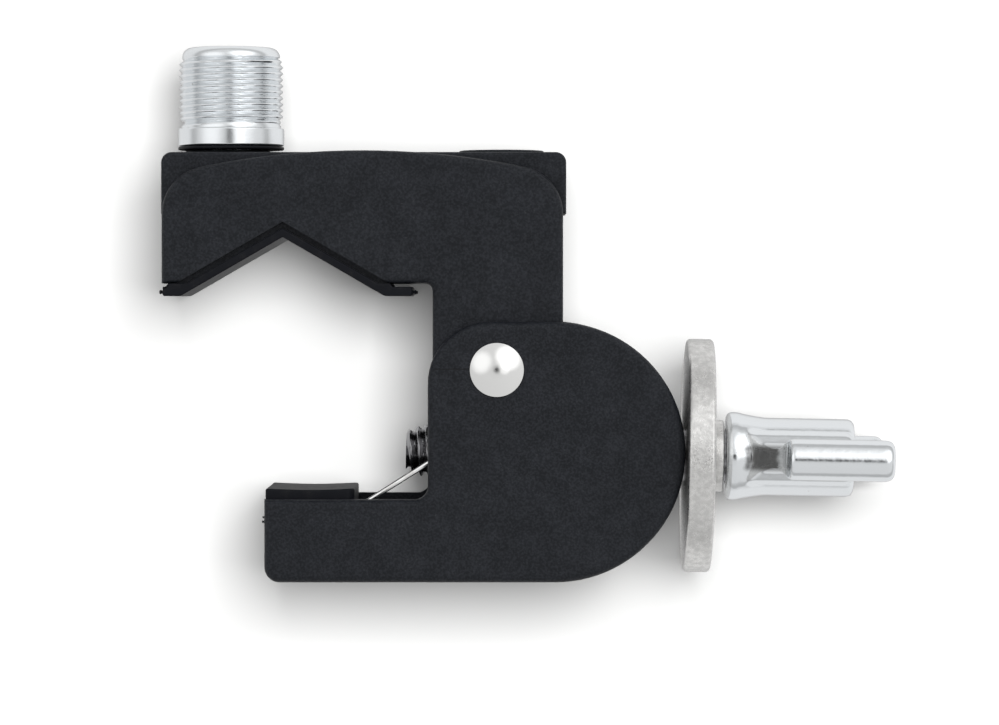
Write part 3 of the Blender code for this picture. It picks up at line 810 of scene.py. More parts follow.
def along_pin(obj: bpy.types.Object) -> bpy.types.Object:
    """Lays a piece turned about Z along the hinge pin, pointing to +Y."""
    obj.matrix_world = Matrix.Translation(HINGE) @ Matrix.Rotation(-QUARTER_TURN, 4, "X")
    return obj


# Sub-assemblies


def gate_mark(place: tuple[float, float, float], side: int, size: float) -> bpy.types.Object:
    """The stub that a mould's gate leaves.

    Args:
        place: the middle of its root.
        side: 1 if it points to +X, -1 if it points to -X.
        size: its radius.

    Returns:
        The stub.
    """
    reach = size * 1.3
    profile = [(0.0, -reach), (size, -reach), (size * 0.8, 0.2 * reach), (size * 0.45, 0.35 * reach)]
    profile += [(size * 0.7, 0.8 * reach), (size * 0.4, reach), (0.0, reach)]
    stub = lathe("gate_mark", profile, 12)
    turn = Matrix.Rotation(side * QUARTER_TURN, 4, "Y")
    stub.matrix_world = Matrix.Translation(place) @ turn
    return stub


@dataclass
class Seat:
    """The V that a tube lies in."""

    apex_x: float = -32.3 * MM
    apex_z: float = 53.3 * MM
    angle: float = math.radians(30)

    def height(self, x: float, depth: float = 0.0) -> float:
        """Height of the flank at x, with depth measured square to it, downward."""
        return self.apex_z - depth / math.cos(self.angle) - abs(x - self.apex_x) * math.tan(self.angle)

    def reach(self, z: float, depth: float, side: int) -> float:
        """Where a flank comes to height z, on side -1 or 1 of the apex."""
        return self.apex_x + side * (self.height(self.apex_x, depth) - z) / math.tan(self.angle)


@dataclass
class UpperJaw:
    """The upper moulding: two arched cheeks, the block between them, the V and the stem."""

    seat: Seat
    half_width: float = 12.0 * MM
    block_half_width: float = 9.5 * MM
    rim: float = 1.1 * MM
    left: float = -50.6 * MM
    right: float = 10.0 * MM
    tip_z: float = 45.0 * MM
    foot_z: float = 62.9 * MM
    arch_z: float = 65.1 * MM
    arch_extra_rise: float = 1.6 * MM
    arch_margin: float = 5.5 * MM
    shoulder: float = 7.2 * MM
    stem_left: float = -9.7 * MM
    stem_bottom: float = 9.0 * MM
    stem_corner: float = 3.0 * MM
    inner_corner: float = 1.2 * MM
    block: tuple[float, float, float, float] = (-50.8 * MM, 10.5 * MM, 55.6 * MM, 64.9 * MM)
    block_corner: float = 1.6 * MM
    block_rim: float = 0.45 * MM
    boss_x: tuple[float, float] = (-41.2 * MM, 0.7 * MM)
    boss_radius: float = 6.5 * MM
    boss_top: float = 65.35 * MM
    boss_edge: float = 0.25 * MM
    rebate: float = 0.9 * MM
    rebate_depth: float = 1.3 * MM
    pin_room: float = 3.8 * MM
    coil_room: float = 5.8 * MM
    coil_room_end: float = -6.85 * MM
    nut_room: float = 7.85 * MM
    nut_room_end: float = -3.2 * MM
    rod_room: float = 4.55 * MM
    rod_reach: float = 12.0 * MM
    bolt_x: float = -40.7 * MM
    bolt_room: float = 5.6 * MM
    bolt_room_z: tuple[float, float] = (44.0 * MM, 60.0 * MM)

    # the spring's two rooms: (x, z) corners in millimetres, then (middle, half width) along Y
    leg_room: tuple[Point, ...] = ((-12, 34), (-3, 34), (-1.2, 19.4), (-4.8, 18.2), (-12, 14.2))
    leg_room_y: Point = (-11.45 * MM, 1.0 * MM)
    hook_room: tuple[Point, ...] = ((-5.25, 32), (-3.55, 32), (-3.55, 37.7), (-5.25, 37.7))
    hook_room_y: Point = (-9.68 * MM, 2.83 * MM)

    def outline(self) -> list[Point]:
        """The cheeks' outline."""
        middle, half = (self.left + self.right) / 2, (self.right - self.left) / 2
        rise = self.arch_z - self.foot_z + self.arch_extra_rise
        radius = (half**2 + rise**2) / (2 * rise)
        reach = math.degrees(math.asin(half / radius))
        arch = arc((middle, self.arch_z - radius), radius, 90 - reach, 90 + reach, 24)
        start, end = self.left + self.arch_margin, self.right - self.arch_margin
        inner = [point for point in arch[1:-1] if start < point[0] < end]
        tip_left, tip_right = (self.left, self.tip_z), (self.right, self.tip_z)
        points = fillet(tip_right, arch[0], inner[0], self.shoulder, 12) + inner
        points += fillet(inner[-1], arch[-1], tip_left, self.shoulder, 12)
        points += [tip_left, (self.seat.reach(self.tip_z, 0.0, -1), self.tip_z)]
        points += [(self.seat.apex_x, self.seat.apex_z)]
        points += [(self.seat.reach(self.tip_z, 0.0, 1), self.tip_z)]
        corner = (self.stem_left, self.tip_z)
        foot_left, foot_right = (self.stem_left, self.stem_bottom), (self.right, self.stem_bottom)
        points += fillet(points[-1], corner, foot_left, self.inner_corner, 6)
        points += fillet(corner, foot_left, foot_right, self.stem_corner)
        points += fillet(foot_left, foot_right, arch[0], self.stem_corner)
        return points

    def build(self, shop: Workshop) -> None:
        """Builds the moulding."""
        jaw = slab("upper_jaw_moulding", self.outline(), self.half_width, self.rim)
        left, right, low, high = self.block
        corner = self.block_corner
        outline = rounded(
            [(left, low, 0), (right, low, 0), (right, high, corner), (left, high, corner)]
        )
        combine(jaw, slab("block", outline, self.block_half_width, self.block_rim), "UNION")
        for x in self.boss_x:
            combine(jaw, self.boss(x), "UNION")
        for tool in self.openings() + self.rebates():
            combine(jaw, tool, "DIFFERENCE")
        shop.hand_over(jaw, Body.JAW, shop.finishes.nylon, ["upper_jaw"])

    def boss(self, x: float) -> bpy.types.Object:
        """The round pad that a stud stands on."""
        edge, top = self.boss_edge, self.boss_top
        profile = [(0.0, self.block[2] + MM), (self.boss_radius, self.block[2] + MM)]
        profile += arc((self.boss_radius - edge, top - edge), edge, 0, 90, 4) + [(0.0, top)]
        pad = lathe("boss", profile, 64)
        pad.location.x = x
        return pad

    def rebates(self) -> list[bpy.types.Object]:
        """The tools that cut the step which each cheek has above the rubber strip."""
        seat, low = self.seat, self.tip_z - MM
        upper = [(seat.reach(low, -self.rebate, side), low) for side in (-1, 1)]
        lower = [(seat.reach(low, MM, side), low) for side in (-1, 1)]
        outline = [upper[0], (seat.apex_x, seat.height(seat.apex_x, -self.rebate)), upper[1]]
        outline += [lower[1], (seat.apex_x, seat.height(seat.apex_x, MM)), lower[0]]
        reach = self.rebate_depth
        return [slab("rebate", outline, reach, centre=side * self.half_width) for side in (-1, 1)]

    def openings(self) -> list[bpy.types.Object]:
        """The tools that cut the pin's, the nut's, the rod's, the bolt's and the spring's room."""
        reach = self.half_width + MM
        bolt = bar("bolt_room", self.bolt_room, *self.bolt_room_z, 48)
        bolt.location.x = self.bolt_x
        return [
            along_pin(bar("pin_room", self.pin_room, -reach, reach, 64)),
            along_pin(bar("coil_room", self.coil_room, -reach, self.coil_room_end, 64)),
            along_screw(bar("nut_room", self.nut_room, -self.rod_reach, self.nut_room_end, 6)),
            along_screw(bar("rod_room", self.rod_room, -self.rod_reach, self.rod_reach, 48)),
            self.spring_room("leg_room", self.leg_room, *self.leg_room_y),
            self.spring_room("hook_room", self.hook_room, *self.hook_room_y),
            bolt,
        ]

    @staticmethod
    def spring_room(
        name: str, corners: Sequence[Point], middle: float, half_width: float
    ) -> bpy.types.Object:
        """The tool that cuts room for a part of the spring.

        Args:
            name: the tool's name.
            corners: its (x, z) corners, in millimetres.
            middle: where its middle lies along Y.
            half_width: half its width along Y.

        Returns:
            The tool.
        """
        return slab(name, [(x * MM, z * MM) for x, z in corners], half_width, centre=middle)


@dataclass
class LowerArm:
    """The lower moulding: two cheeks, the round heel wall that joins them and the jaw's floor."""

    half_width: float = 14.5 * MM
    rim: float = 1.1 * MM
    heel_radius: float = 19.6 * MM
    heel_x: float = 8.8 * MM
    wall: float = 3.2 * MM
    left: float = -35.0 * MM
    inner_x: float = -10.4 * MM
    jaw_top: float = 12.5 * MM
    floor: float = 11.4 * MM
    knee: float = 9.3 * MM
    inner_corner: float = 2.0 * MM
    toe_corner: float = 2.3 * MM
    room_half_width: float = 12.4 * MM
    room_left: float = -10.9 * MM
    lip_x: float = 10.5 * MM
    tip_room_x: Point = (-16.0 * MM, -9.9 * MM)
    tip_room_floor: float = 6.0 * MM
    tip_room_corner: float = 2.0 * MM
    tip_room_half_width: float = 4.8 * MM
    slot_half_width: float = 4.5 * MM
    slot_angles: tuple[float, float] = (-17.0, 57.0)
    pin_hole_radius: float = 2.8 * MM
    gate_marks: tuple[tuple[float, float, float], ...] = (
        (-12.9 * MM, 9.8 * MM, 0.22 * MM),
        (-12.6 * MM, 9.1 * MM, 0.30 * MM),
    )

    def outline(self) -> list[Point]:
        """The cheeks' outline."""
        heel = arc((self.heel_x, self.heel_radius), self.heel_radius, -90, 90, 48)
        knee, inner = (self.inner_x, 2 * self.heel_radius), (self.inner_x, self.jaw_top)
        tip, toe = (self.left, self.jaw_top), (self.left, 0.0)
        points = heel + fillet(heel[-1], knee, inner, self.knee, 14)
        points += fillet(knee, inner, tip, self.inner_corner)
        points += [tip]
        points += fillet(tip, toe, heel[0], self.toe_corner, 10)
        return points

    def build(self, shop: Workshop) -> None:
        """Builds the moulding."""
        arm = slab("lower_arm_moulding", self.outline(), self.half_width, self.rim)
        for tool in (self.room(), self.tip_room(), self.slot(), self.pin_hole()):
            combine(arm, tool, "DIFFERENCE")
        for y, z, size in self.gate_marks:
            combine(arm, gate_mark((self.left, y, z), -1, size), "UNION")
        shop.hand_over(arm, Body.ARM, shop.finishes.arm_nylon, ["lower_arm"])

    def room(self) -> bpy.types.Object:
        """The space between the cheeks, open to the left and above the stem."""
        inner = self.heel_radius - self.wall
        centre = (self.heel_x, self.heel_radius)
        lip = math.degrees(math.acos((self.lip_x - self.heel_x) / inner))
        above, beyond = 2 * self.heel_radius + 2 * MM, self.left - 2 * MM
        points = arc(centre, inner, -90, lip, 32)
        points += [(self.lip_x, above), (beyond, above)]
        points += [(beyond, self.floor), (self.room_left, self.floor)]
        points += fillet(points[-1], (self.room_left, self.wall), points[0], MM)
        return slab("room", points, self.room_half_width)

    def tip_room(self) -> bpy.types.Object:
        """The pocket in the floor for the wing screw's tip."""
        (left, right), low, high = self.tip_room_x, self.tip_room_floor, self.jaw_top
        corner = self.tip_room_corner
        corners = [(left, low, corner), (right, low, 0), (right, high, 0), (left, high, 0)]
        return slab("tip_room", rounded(corners), self.tip_room_half_width)

    def slot(self) -> bpy.types.Object:
        """The upright slot in the heel that the screw swings in."""
        centre = (self.heel_x, self.heel_radius)
        low, high = self.slot_angles
        points = arc(centre, self.heel_radius - self.wall - 2 * MM, low, high, 16)
        points += arc(centre, self.heel_radius + 2 * MM, high, low, 16)
        return slab("slot", points, self.slot_half_width)

    def pin_hole(self) -> bpy.types.Object:
        """The hole through both cheeks."""
        reach = self.half_width + MM
        return along_pin(bar("hole", self.pin_hole_radius, -reach, reach, 48))


@dataclass
class Pads:
    """The rubber strip under the V and the rubber block on the arm."""

    seat: Seat
    half_width: float = 12.0 * MM
    bite: float = 0.05 * MM
    under: float = 1.15 * MM
    tab_root: float = 45.02 * MM
    tab_top: float = 44.5 * MM
    tab_bottom: float = 43.1 * MM
    nip: float = 0.3 * MM
    strip_rim: float = 0.25 * MM
    bend: float = 1.0 * MM
    apex_bend: float = 0.3 * MM
    notch_corner: float = 0.2 * MM
    outer_notch: tuple[float, float] = (0.4 * MM, 0.9 * MM)
    inner_notch: tuple[float, float] = (2.9 * MM, 3.3 * MM)
    gate_height: float = 43.7 * MM

    # (place along Y, radius) of the gate marks on each end of the strip
    gates: tuple[Point, ...] = (
        (-10.9 * MM, 0.34 * MM), (-9.2 * MM, 0.5 * MM), (10.4 * MM, 0.4 * MM)
    )
    block_sunk: float = 0.35 * MM
    block_corner: float = 1.3 * MM
    block_rim: float = 0.6 * MM
    saddle: float = 0.22 * MM
    slices: int = 16

    def build(self, shop: Workshop) -> None:
        """Builds both pads."""
        self.strip(shop)
        self.block(shop)

    def strip(self, shop: Workshop) -> None:
        """The strip, pressed against the V, with a tab and a gate mark under each tip of the jaw."""
        (left, _, _), (right, _, _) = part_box("v_pad")
        seat, bottom, top, root = self.seat, self.tab_bottom, self.tab_top, self.tab_root
        outline = rounded([
            (left, bottom, self.nip),
            (seat.reach(bottom, self.under, -1), bottom, self.bend),
            (seat.apex_x, seat.height(seat.apex_x, self.under), self.apex_bend),
            (seat.reach(bottom, self.under, 1), bottom, self.bend),
            (right, bottom, self.nip),
            (right, top, self.nip),
            (right - self.inner_notch[0], top, self.notch_corner),
            (right - self.inner_notch[1], root, 0),
            (seat.reach(root, -self.bite, 1), root, 0),
            (seat.apex_x, seat.height(seat.apex_x, -self.bite), 0),
            (seat.reach(root, -self.bite, -1), root, 0),
            (left + self.outer_notch[1], root, self.notch_corner),
            (left + self.outer_notch[0], top, self.notch_corner),
            (left, top, self.nip / 2),
        ], 4)
        strip = slab("v_pad_rubber", outline, self.half_width, self.strip_rim)
        for end, side in ((left, -1), (right, 1)):
            for y, size in self.gates:
                combine(strip, gate_mark((end, y, self.gate_height), side, size), "UNION")
        shop.hand_over(strip, Body.JAW, shop.finishes.rubber, ["v_pad"])

    def block(self, shop: Workshop) -> None:
        """The block: a flat-bottomed saddle with rounded rims and a squarer outer end."""
        low, high = (Vector(corner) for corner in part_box("lower_pad"))
        low.z -= self.block_sunk
        size = high - low
        corner, sharper = self.block_corner, self.block_sunk
        outline = rounded([
            (low.x, low.y, sharper),
            (high.x, low.y, corner),
            (high.x, high.y, corner),
            (low.x, high.y, sharper),
        ], 6)
        block = self.upright_prism("lower_pad_rubber", outline, low.z, high.z)
        shape = block.modifiers.new("rim", "BEVEL")
        shape.width = self.block_rim
        shape.segments = 5
        shape.limit_method = "ANGLE"
        shape.angle_limit = math.radians(60)
        settle(block)
        for vertex in block.data.vertices:
            share = (vertex.co.x - low.x) / size.x
            lift = max(0.0, (vertex.co.z - low.z) / size.z - 0.5) * 2
            vertex.co.z -= self.saddle * lift * math.sin(math.pi * min(max(share, 0.0), 1.0))
        shop.hand_over(block, Body.ARM, shop.finishes.rubber, ["lower_pad"])

    def upright_prism(
        self, name: str, outline: Sequence[Point], low: float, high: float
    ) -> bpy.types.Object:
        """A prism with an (x, y) outline, cut into slices across X so that it can be bent.

        Args:
            name: the object's name.
            outline: its closed outline.
            low: the height of its bottom.
            high: the height of its top.

        Returns:
            The prism.
        """
        bm = bmesh.new()
        face = bm.faces.new([bm.verts.new((x, y, low)) for x, y in outline])
        pulled = bmesh.ops.extrude_face_region(bm, geom=[face])["geom"]
        moved = [part for part in pulled if isinstance(part, bmesh.types.BMVert)]
        bmesh.ops.translate(bm, verts=moved, vec=(0.0, 0.0, high - low))
        left, right = min(x for x, _ in outline), max(x for x, _ in outline)
        for i in range(1, self.slices):
            cut = (left + (right - left) * i / self.slices, 0.0, 0.0)
            everything = bm.verts[:] + bm.edges[:] + bm.faces[:]
            bmesh.ops.bisect_plane(bm, geom=everything, plane_co=cut, plane_no=X_AXIS)
        return solid(name, bm)


@dataclass
class Hinge:
    """The rivet, its washer and sleeve, and the torsion spring round them."""

    cheek: float = 14.5 * MM
    radius: float = 2.5 * MM
    head_radius: float = 4.05 * MM
    head_height: float = 1.3 * MM
    tail_radius: float = 3.6 * MM
    tail_height: float = 1.5 * MM
    wire: float = 0.4 * MM
    coil_radius: float = 4.4 * MM
    coil_front: float = -11.3 * MM
    coil_pitch: float = 1.2 * MM
    coil_turns: int = 3
    coil_steps: int = 32
    clearance: float = 0.15 * MM
    washer: float = 0.8 * MM
    leg_end: Point = (-19.75 * MM, 12.0 * MM)
    leg_bend: Point = (-4.45 * MM, 21.65 * MM)
    leg_top: Point = (-4.4 * MM, 30.0 * MM)
    leg_bend_radius: float = 1.2 * MM
    hook_top: float = 37.4 * MM

    def build(self, shop: Workshop) -> None:
        """Builds the rivet and the spring, and dresses the sleeve and the washer."""
        head = -self.cheek - self.clearance
        tail = self.cheek + self.washer + 2 * self.clearance
        profile = self.dome(self.head_radius, self.head_height, head, -1)[::-1]
        profile += [(self.radius, head), (self.radius, tail)]
        profile += self.dome(self.tail_radius, self.tail_height, tail, 1)
        rivet = along_pin(lathe("hinge_rivet_turned", profile))
        shop.hand_over(rivet, Body.ARM, shop.finishes.nickel, ["hinge_rivet"])
        shop.keep("hinge_sleeve", shop.finishes.steel)
        shop.keep("rivet_washer", shop.finishes.steel)
        self.spring(shop)

    @staticmethod
    def dome(radius: float, height: float, base: float, way: int) -> list[Point]:
        """A domed head's (radius, height) points, from its rim to its crown.

        Args:
            radius: the head's radius.
            height: the head's height.
            base: the height of its flat side.
            way: 1 if it points up, -1 if it points down.

        Returns:
            The points.
        """
        ball = (radius**2 + height**2) / (2 * height)
        reach = math.asin(radius / ball)
        angles = [reach * (1 - i / 16) for i in range(17)]
        sunk = ball - height
        return [(ball * math.sin(a), base + way * (ball * math.cos(a) - sunk)) for a in angles]

    def path(self) -> list[Vector]:
        """The spring's centre line: the long leg, the coil and the hook."""
        leg = [self.leg_end]
        leg += fillet(self.leg_end, self.leg_bend, self.leg_top, self.leg_bend_radius)
        points = [Vector((x, self.coil_front, z)) for x, z in leg]
        for i in range(self.coil_turns * self.coil_steps + 1):
            turns = i / self.coil_steps
            angle = math.pi - math.tau * turns
            x = HINGE.x + self.coil_radius * math.cos(angle)
            z = HINGE.z + self.coil_radius * math.sin(angle)
            points.append(Vector((x, self.coil_front + self.coil_pitch * turns, z)))
        points.append(Vector((-self.coil_radius, points[-1].y, self.hook_top)))
        return points

    def spring(self, shop: Workshop) -> None:
        """The spring's wire, from its leg along the arm round the coil to its hook in the jaw."""
        curve = bpy.data.curves.new("return_spring_wire", "CURVE")
        curve.dimensions = "3D"
        curve.bevel_depth = self.wire
        curve.bevel_resolution = 3
        curve.use_fill_caps = True
        line = curve.splines.new("POLY")
        points = self.path()
        line.points.add(len(points) - 1)
        for spline_point, point in zip(line.points, points):
            spline_point.co = (*point, 1.0)
        drawn = bpy.data.objects.new("wire_path", curve)
        bpy.context.scene.collection.objects.link(drawn)
        bpy.context.view_layer.update()
        graph = bpy.context.evaluated_depsgraph_get()
        bm = bmesh.new()
        bm.from_mesh(bpy.data.meshes.new_from_object(drawn.evaluated_get(graph)))
        bpy.data.objects.remove(drawn)
        wire = solid("return_spring_wire", bm)
        shop.shade(wire, shop.finishes.wire)
        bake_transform(wire)
        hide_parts("return_spring")
        LOG.info("return_spring_wire bends between the arm and the jaw")


@dataclass
class Stud:
    """The threaded microphone stud, its gasket and the bolt that holds it from below."""

    collar_radius: float = 8.1 * MM
    collar_height: float = 2.7 * MM
    neck_radius: float = 7.6 * MM
    major_radius: float = 15.875 / 2 * MM
    pitch: float = 25.4 / 27 * MM
    depth: float = 0.46 * MM
    crown: float = 1.5 * MM
    crown_inset: float = 0.45 * MM
    bore: float = 3.3 * MM
    bore_top: float = 74.3 * MM
    edge: float = 0.25 * MM
    neck_height: float = 0.35 * MM
    run_in: float = 0.7 * MM
    flank: float = 2.3
    rows_per_turn: int = 12
    gasket_bore: float = 5.0 * MM
    gasket_edge: float = 0.2 * MM

    def build(self, shop: Workshop) -> None:
        """Builds the stud and the gasket, and dresses the bolt and its washers."""
        (left, _, base), (right, _, top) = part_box("mount_stud")
        axis = (left + right) / 2
        neck = base + self.collar_height
        start, end = neck + self.run_in, top - self.crown - 0.1 * MM
        edge = self.edge
        profile = [(0.0, self.bore_top), (self.bore, self.bore_top), (self.bore, base)]
        profile += arc((self.collar_radius - edge, base + edge), edge, -90, 0, 4)
        profile += arc((self.collar_radius - edge, neck - edge), edge, 0, 90, 4)
        profile += [(self.neck_radius, neck + 0.02 * MM), (self.neck_radius, neck + self.neck_height)]
        rows = int((end - start) / self.pitch * self.rows_per_turn)
        profile += [(self.major_radius, start + (end - start) * i / rows) for i in range(rows + 1)]
        rim = self.major_radius - self.crown_inset
        profile += arc((rim - self.crown, top - self.crown), self.crown, 0, 90, 10) + [(0.0, top)]

        def thread(radius: float, height: float, angle: float) -> float:
            """The radius on the thread, which fades in and out over its ends."""
            if not start - WELD < height < end + WELD or radius < self.major_radius - WELD:
                return radius
            phase = (height / self.pitch - angle / math.tau) % 1.0
            fade = min(1.0, (height - start) / self.pitch, (end - height) / self.pitch)
            groove = self.depth * (1.0 - min(1.0, self.flank * abs(phase - 0.5)))
            return radius - groove - (1.0 - max(fade, 0.0)) * self.crown_inset

        stud = lathe("mount_stud_threaded", profile, 112, thread)
        stud.location.x = axis
        shop.hand_over(stud, Body.JAW, shop.finishes.stud, ["mount_stud"])
        (_, _, low), (_, _, high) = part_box("stud_gasket")
        gasket = ring(
            "stud_gasket_disc", self.gasket_bore, self.collar_radius, low, high, self.gasket_edge
        )
        gasket.location.x = axis
        shop.hand_over(gasket, Body.JAW, shop.finishes.rubber, ["stud_gasket"])
        for node in ("stud_bolt", "stud_lock_washer", "stud_washer"):
            shop.keep(node, shop.finishes.steel)


@dataclass
class WingScrew:
    """The rod and its nut, the pressure disc and its washer, and the cast wing grip.

    Places along the screw are measured from the point below the hinge pin.
    """

    rod_radius: float = 3.95 * MM
    rod_tip: float = -13.9 * MM
    rod_end: float = 50.0 * MM
    thread_end: float = 28.0 * MM
    pitch: float = 1.25 * MM
    depth: float = 0.72 * MM
    nut_start: float = -10.0 * MM
    nut_length: float = 6.5 * MM
    nut_flats: float = 13.0 * MM
    disc_start: float = 28.75 * MM
    disc_thickness: float = 4.1 * MM
    disc_radius: float = 17.85 * MM
    washer_radius: float = 5.5 * MM
    washer_thickness: float = 1.5 * MM
    flank: float = 2.4
    rows_per_turn: int = 10
    lead_depth: float = 0.95 * MM
    lead_slope: float = 0.42
    nut_bore: float = 4.25 * MM
    nut_chamfer: float = 0.7 * MM
    clearance: float = 0.3 * MM
    disc_edge: float = 0.6 * MM
    washer_edge: float = 0.3 * MM

    def build(self, shop: Workshop) -> None:
        """Builds every piece on the screw."""
        self.rod(shop)
        self.nut(shop)
        self.disc(shop)
        WingGrip().build(shop)

    def rod(self, shop: Workshop) -> None:
        """The threaded rod, pointed over its first turns."""
        rows = int((self.thread_end - self.rod_tip) / self.pitch * self.rows_per_turn)
        step = (self.thread_end - self.rod_tip) / rows
        profile = [(0.0, self.rod_tip)]
        profile += [(self.rod_radius, self.rod_tip + step * i) for i in range(rows + 1)]
        profile += [(self.rod_radius, self.rod_end), (0.0, self.rod_end)]

        def thread(radius: float, height: float, angle: float) -> float:
            """The radius on the thread, with its chamfered lead-in."""
            if radius < WELD or height > self.thread_end:
                return radius
            phase = (height / self.pitch - angle / math.tau) % 1.0
            groove = self.depth * (1.0 - min(1.0, self.flank * abs(phase - 0.5)))
            run_out = min(1.0, (self.thread_end - height) / self.pitch)
            lead = self.rod_radius - self.lead_depth + (height - self.rod_tip) * self.lead_slope
            return min(radius, lead) - groove * run_out

        rod = along_screw(lathe("screw_rod_threaded", profile, 64, thread))
        shop.hand_over(rod, Body.WING_SCREW, shop.finishes.thread, ["screw_rod"])

    def nut(self, shop: Workshop) -> None:
        """The hexagon nut, with its corners turned off."""
        start, end = self.nut_start, self.nut_start + self.nut_length
        corner = self.nut_flats / 2 / math.cos(math.radians(30))
        flat = self.nut_flats / 2
        cut, bore = self.nut_chamfer, self.nut_bore
        turned = [(bore, start), (flat, start), (corner, start + cut), (corner, end - cut)]
        turned += [(flat, end), (bore, end), (bore, start)]
        nut = lathe("captive_nut_faced", turned, 96)
        combine(nut, bar("hexagon", corner, start - MM, end + MM, 6), "INTERSECT")
        shop.hand_over(along_screw(nut), Body.JAW, shop.finishes.steel, ["captive_nut"])

    def disc(self, shop: Workshop) -> None:
        """The thick disc and the washer behind it."""
        bore = self.rod_radius + self.clearance
        start, end = self.disc_start, self.disc_start + self.disc_thickness
        disc = ring("pressure_disc_stamped", bore, self.disc_radius, start, end, self.disc_edge)
        shop.hand_over(along_screw(disc), Body.DISC, shop.finishes.zinc, ["pressure_disc"])
        start = end + self.clearance
        end = start + self.washer_thickness
        washer = ring("wing_washer_stamped", bore, self.washer_radius, start, end, self.washer_edge)
        shop.hand_over(along_screw(washer), Body.DISC, shop.finishes.zinc, ["wing_washer"])


@dataclass
class WingGrip:
    """The cast grip: a flanged barrel with two waisted wings."""

    start: float = 35.0 * MM
    flange_radius: float = 6.75 * MM
    barrel_radius: float = 5.95 * MM
    barrel_end: float = 54.6 * MM
    bore: float = 4.25 * MM
    bore_end: float = 50.3 * MM
    voxel: float = 0.24 * MM
    flow: float = 0.5
    flow_rounds: int = 4
    lip: float = 0.9 * MM
    lead_rounding: float = 0.45 * MM
    trail_rounding: float = 1.4 * MM

    # (distance from the screw, leading edge, trailing edge, half thickness)
    sections: tuple[tuple[float, float, float, float], ...] = (
        (4.8 * MM, 37.6 * MM, 54.0 * MM, 4.2 * MM),
        (5.9 * MM, 38.4 * MM, 54.6 * MM, 3.5 * MM),
        (7.0 * MM, 39.9 * MM, 55.4 * MM, 2.2 * MM),
        (8.2 * MM, 41.3 * MM, 57.0 * MM, 1.55 * MM),
        (9.2 * MM, 42.5 * MM, 58.6 * MM, 1.65 * MM),
        (9.9 * MM, 43.2 * MM, 59.6 * MM, 2.4 * MM),
        (10.6 * MM, 43.8 * MM, 60.0 * MM, 2.95 * MM),
        (11.4 * MM, 44.1 * MM, 60.1 * MM, 3.15 * MM),
        (12.2 * MM, 44.2 * MM, 60.1 * MM, 2.95 * MM),
        (12.9 * MM, 44.25 * MM, 60.1 * MM, 2.5 * MM),
        (13.5 * MM, 44.3 * MM, 59.9 * MM, 1.85 * MM),
        (13.9 * MM, 44.35 * MM, 59.6 * MM, 1.1 * MM),
        (14.1 * MM, 44.5 * MM, 59.2 * MM, 0.4 * MM),
    )

    def build(self, shop: Workshop) -> None:
        """Casts the barrel and the wings into one piece and bores it."""
        grip = self.barrel()
        for side in (-1, 1):
            combine(grip, self.wing(side), "UNION")
        remesh = grip.modifiers.new("cast", "REMESH")
        remesh.mode = "VOXEL"
        remesh.voxel_size = self.voxel
        smooth = grip.modifiers.new("flow", "SMOOTH")
        smooth.factor = self.flow
        smooth.iterations = self.flow_rounds
        settle(grip)
        combine(grip, bar("bore", self.bore, self.start - MM, self.bore_end, 64), "DIFFERENCE")
        shop.hand_over(
            along_screw(grip), Body.WING_SCREW, shop.finishes.chrome, ["wing_grip"]
        )

    def barrel(self) -> bpy.types.Object:
        """The barrel with its rounded flange, about Z."""
        lip, flange, body = self.lip, self.flange_radius, self.barrel_radius
        profile = [(0.0, self.start)]
        profile += arc((flange - lip, self.start + lip), lip, -90, 0, 6)
        profile += [(flange, self.start + 1.6 * MM), (flange - 0.25 * MM, self.start + 2.6 * MM)]
        profile += [(body + 0.25 * MM, self.start + 4.2 * MM), (body, self.start + 6.0 * MM)]
        profile += arc((body - MM, self.barrel_end - MM), MM, 0, 90, 6) + [(0.0, self.barrel_end)]
        return lathe("wing_grip_cast", profile, 96)

    def wing(self, side: int) -> bpy.types.Object:
        """One wing, lofted outward through rounded sections.

        Args:
            side: 1 or -1, the way it points across the screw.

        Returns:
            The wing, with the screw along Z.
        """
        bm = bmesh.new()
        loops = []
        for distance, lead, trail, half in self.sections:
            front = 0.9 * min(half, self.lead_rounding)
            back = 0.92 * min(half, self.trail_rounding)
            outline = rounded([
                (lead, -half, front), (trail, -half, back), (trail, half, back), (lead, half, front)
            ], 5)
            # along_screw turns this piece's Y up, so the wings lie along its X
            loops.append([bm.verts.new((side * distance, t, z)) for z, t in outline])
        for low, high in zip(loops, loops[1:]):
            for i in range(len(low)):
                j = (i + 1) % len(low)
                bm.faces.new((low[i], low[j], high[j], high[i]))
        bm.faces.new(loops[0])
        bm.faces.new(loops[-1])
        return solid("wing", bm)


# Studio


@dataclass(frozen=True)
class Glow:
    """A soft bright place in the room; its rim and core are cosines of the angle from its middle."""

    direction: Corner
    rim: float
    core: float
    strength: float

    def light(self, graph: Graph, direction: Value) -> Value:
        """How much the glow adds in a direction."""
        return graph.span(graph.dot(direction, self.direction), self.rim, self.core) * self.strength


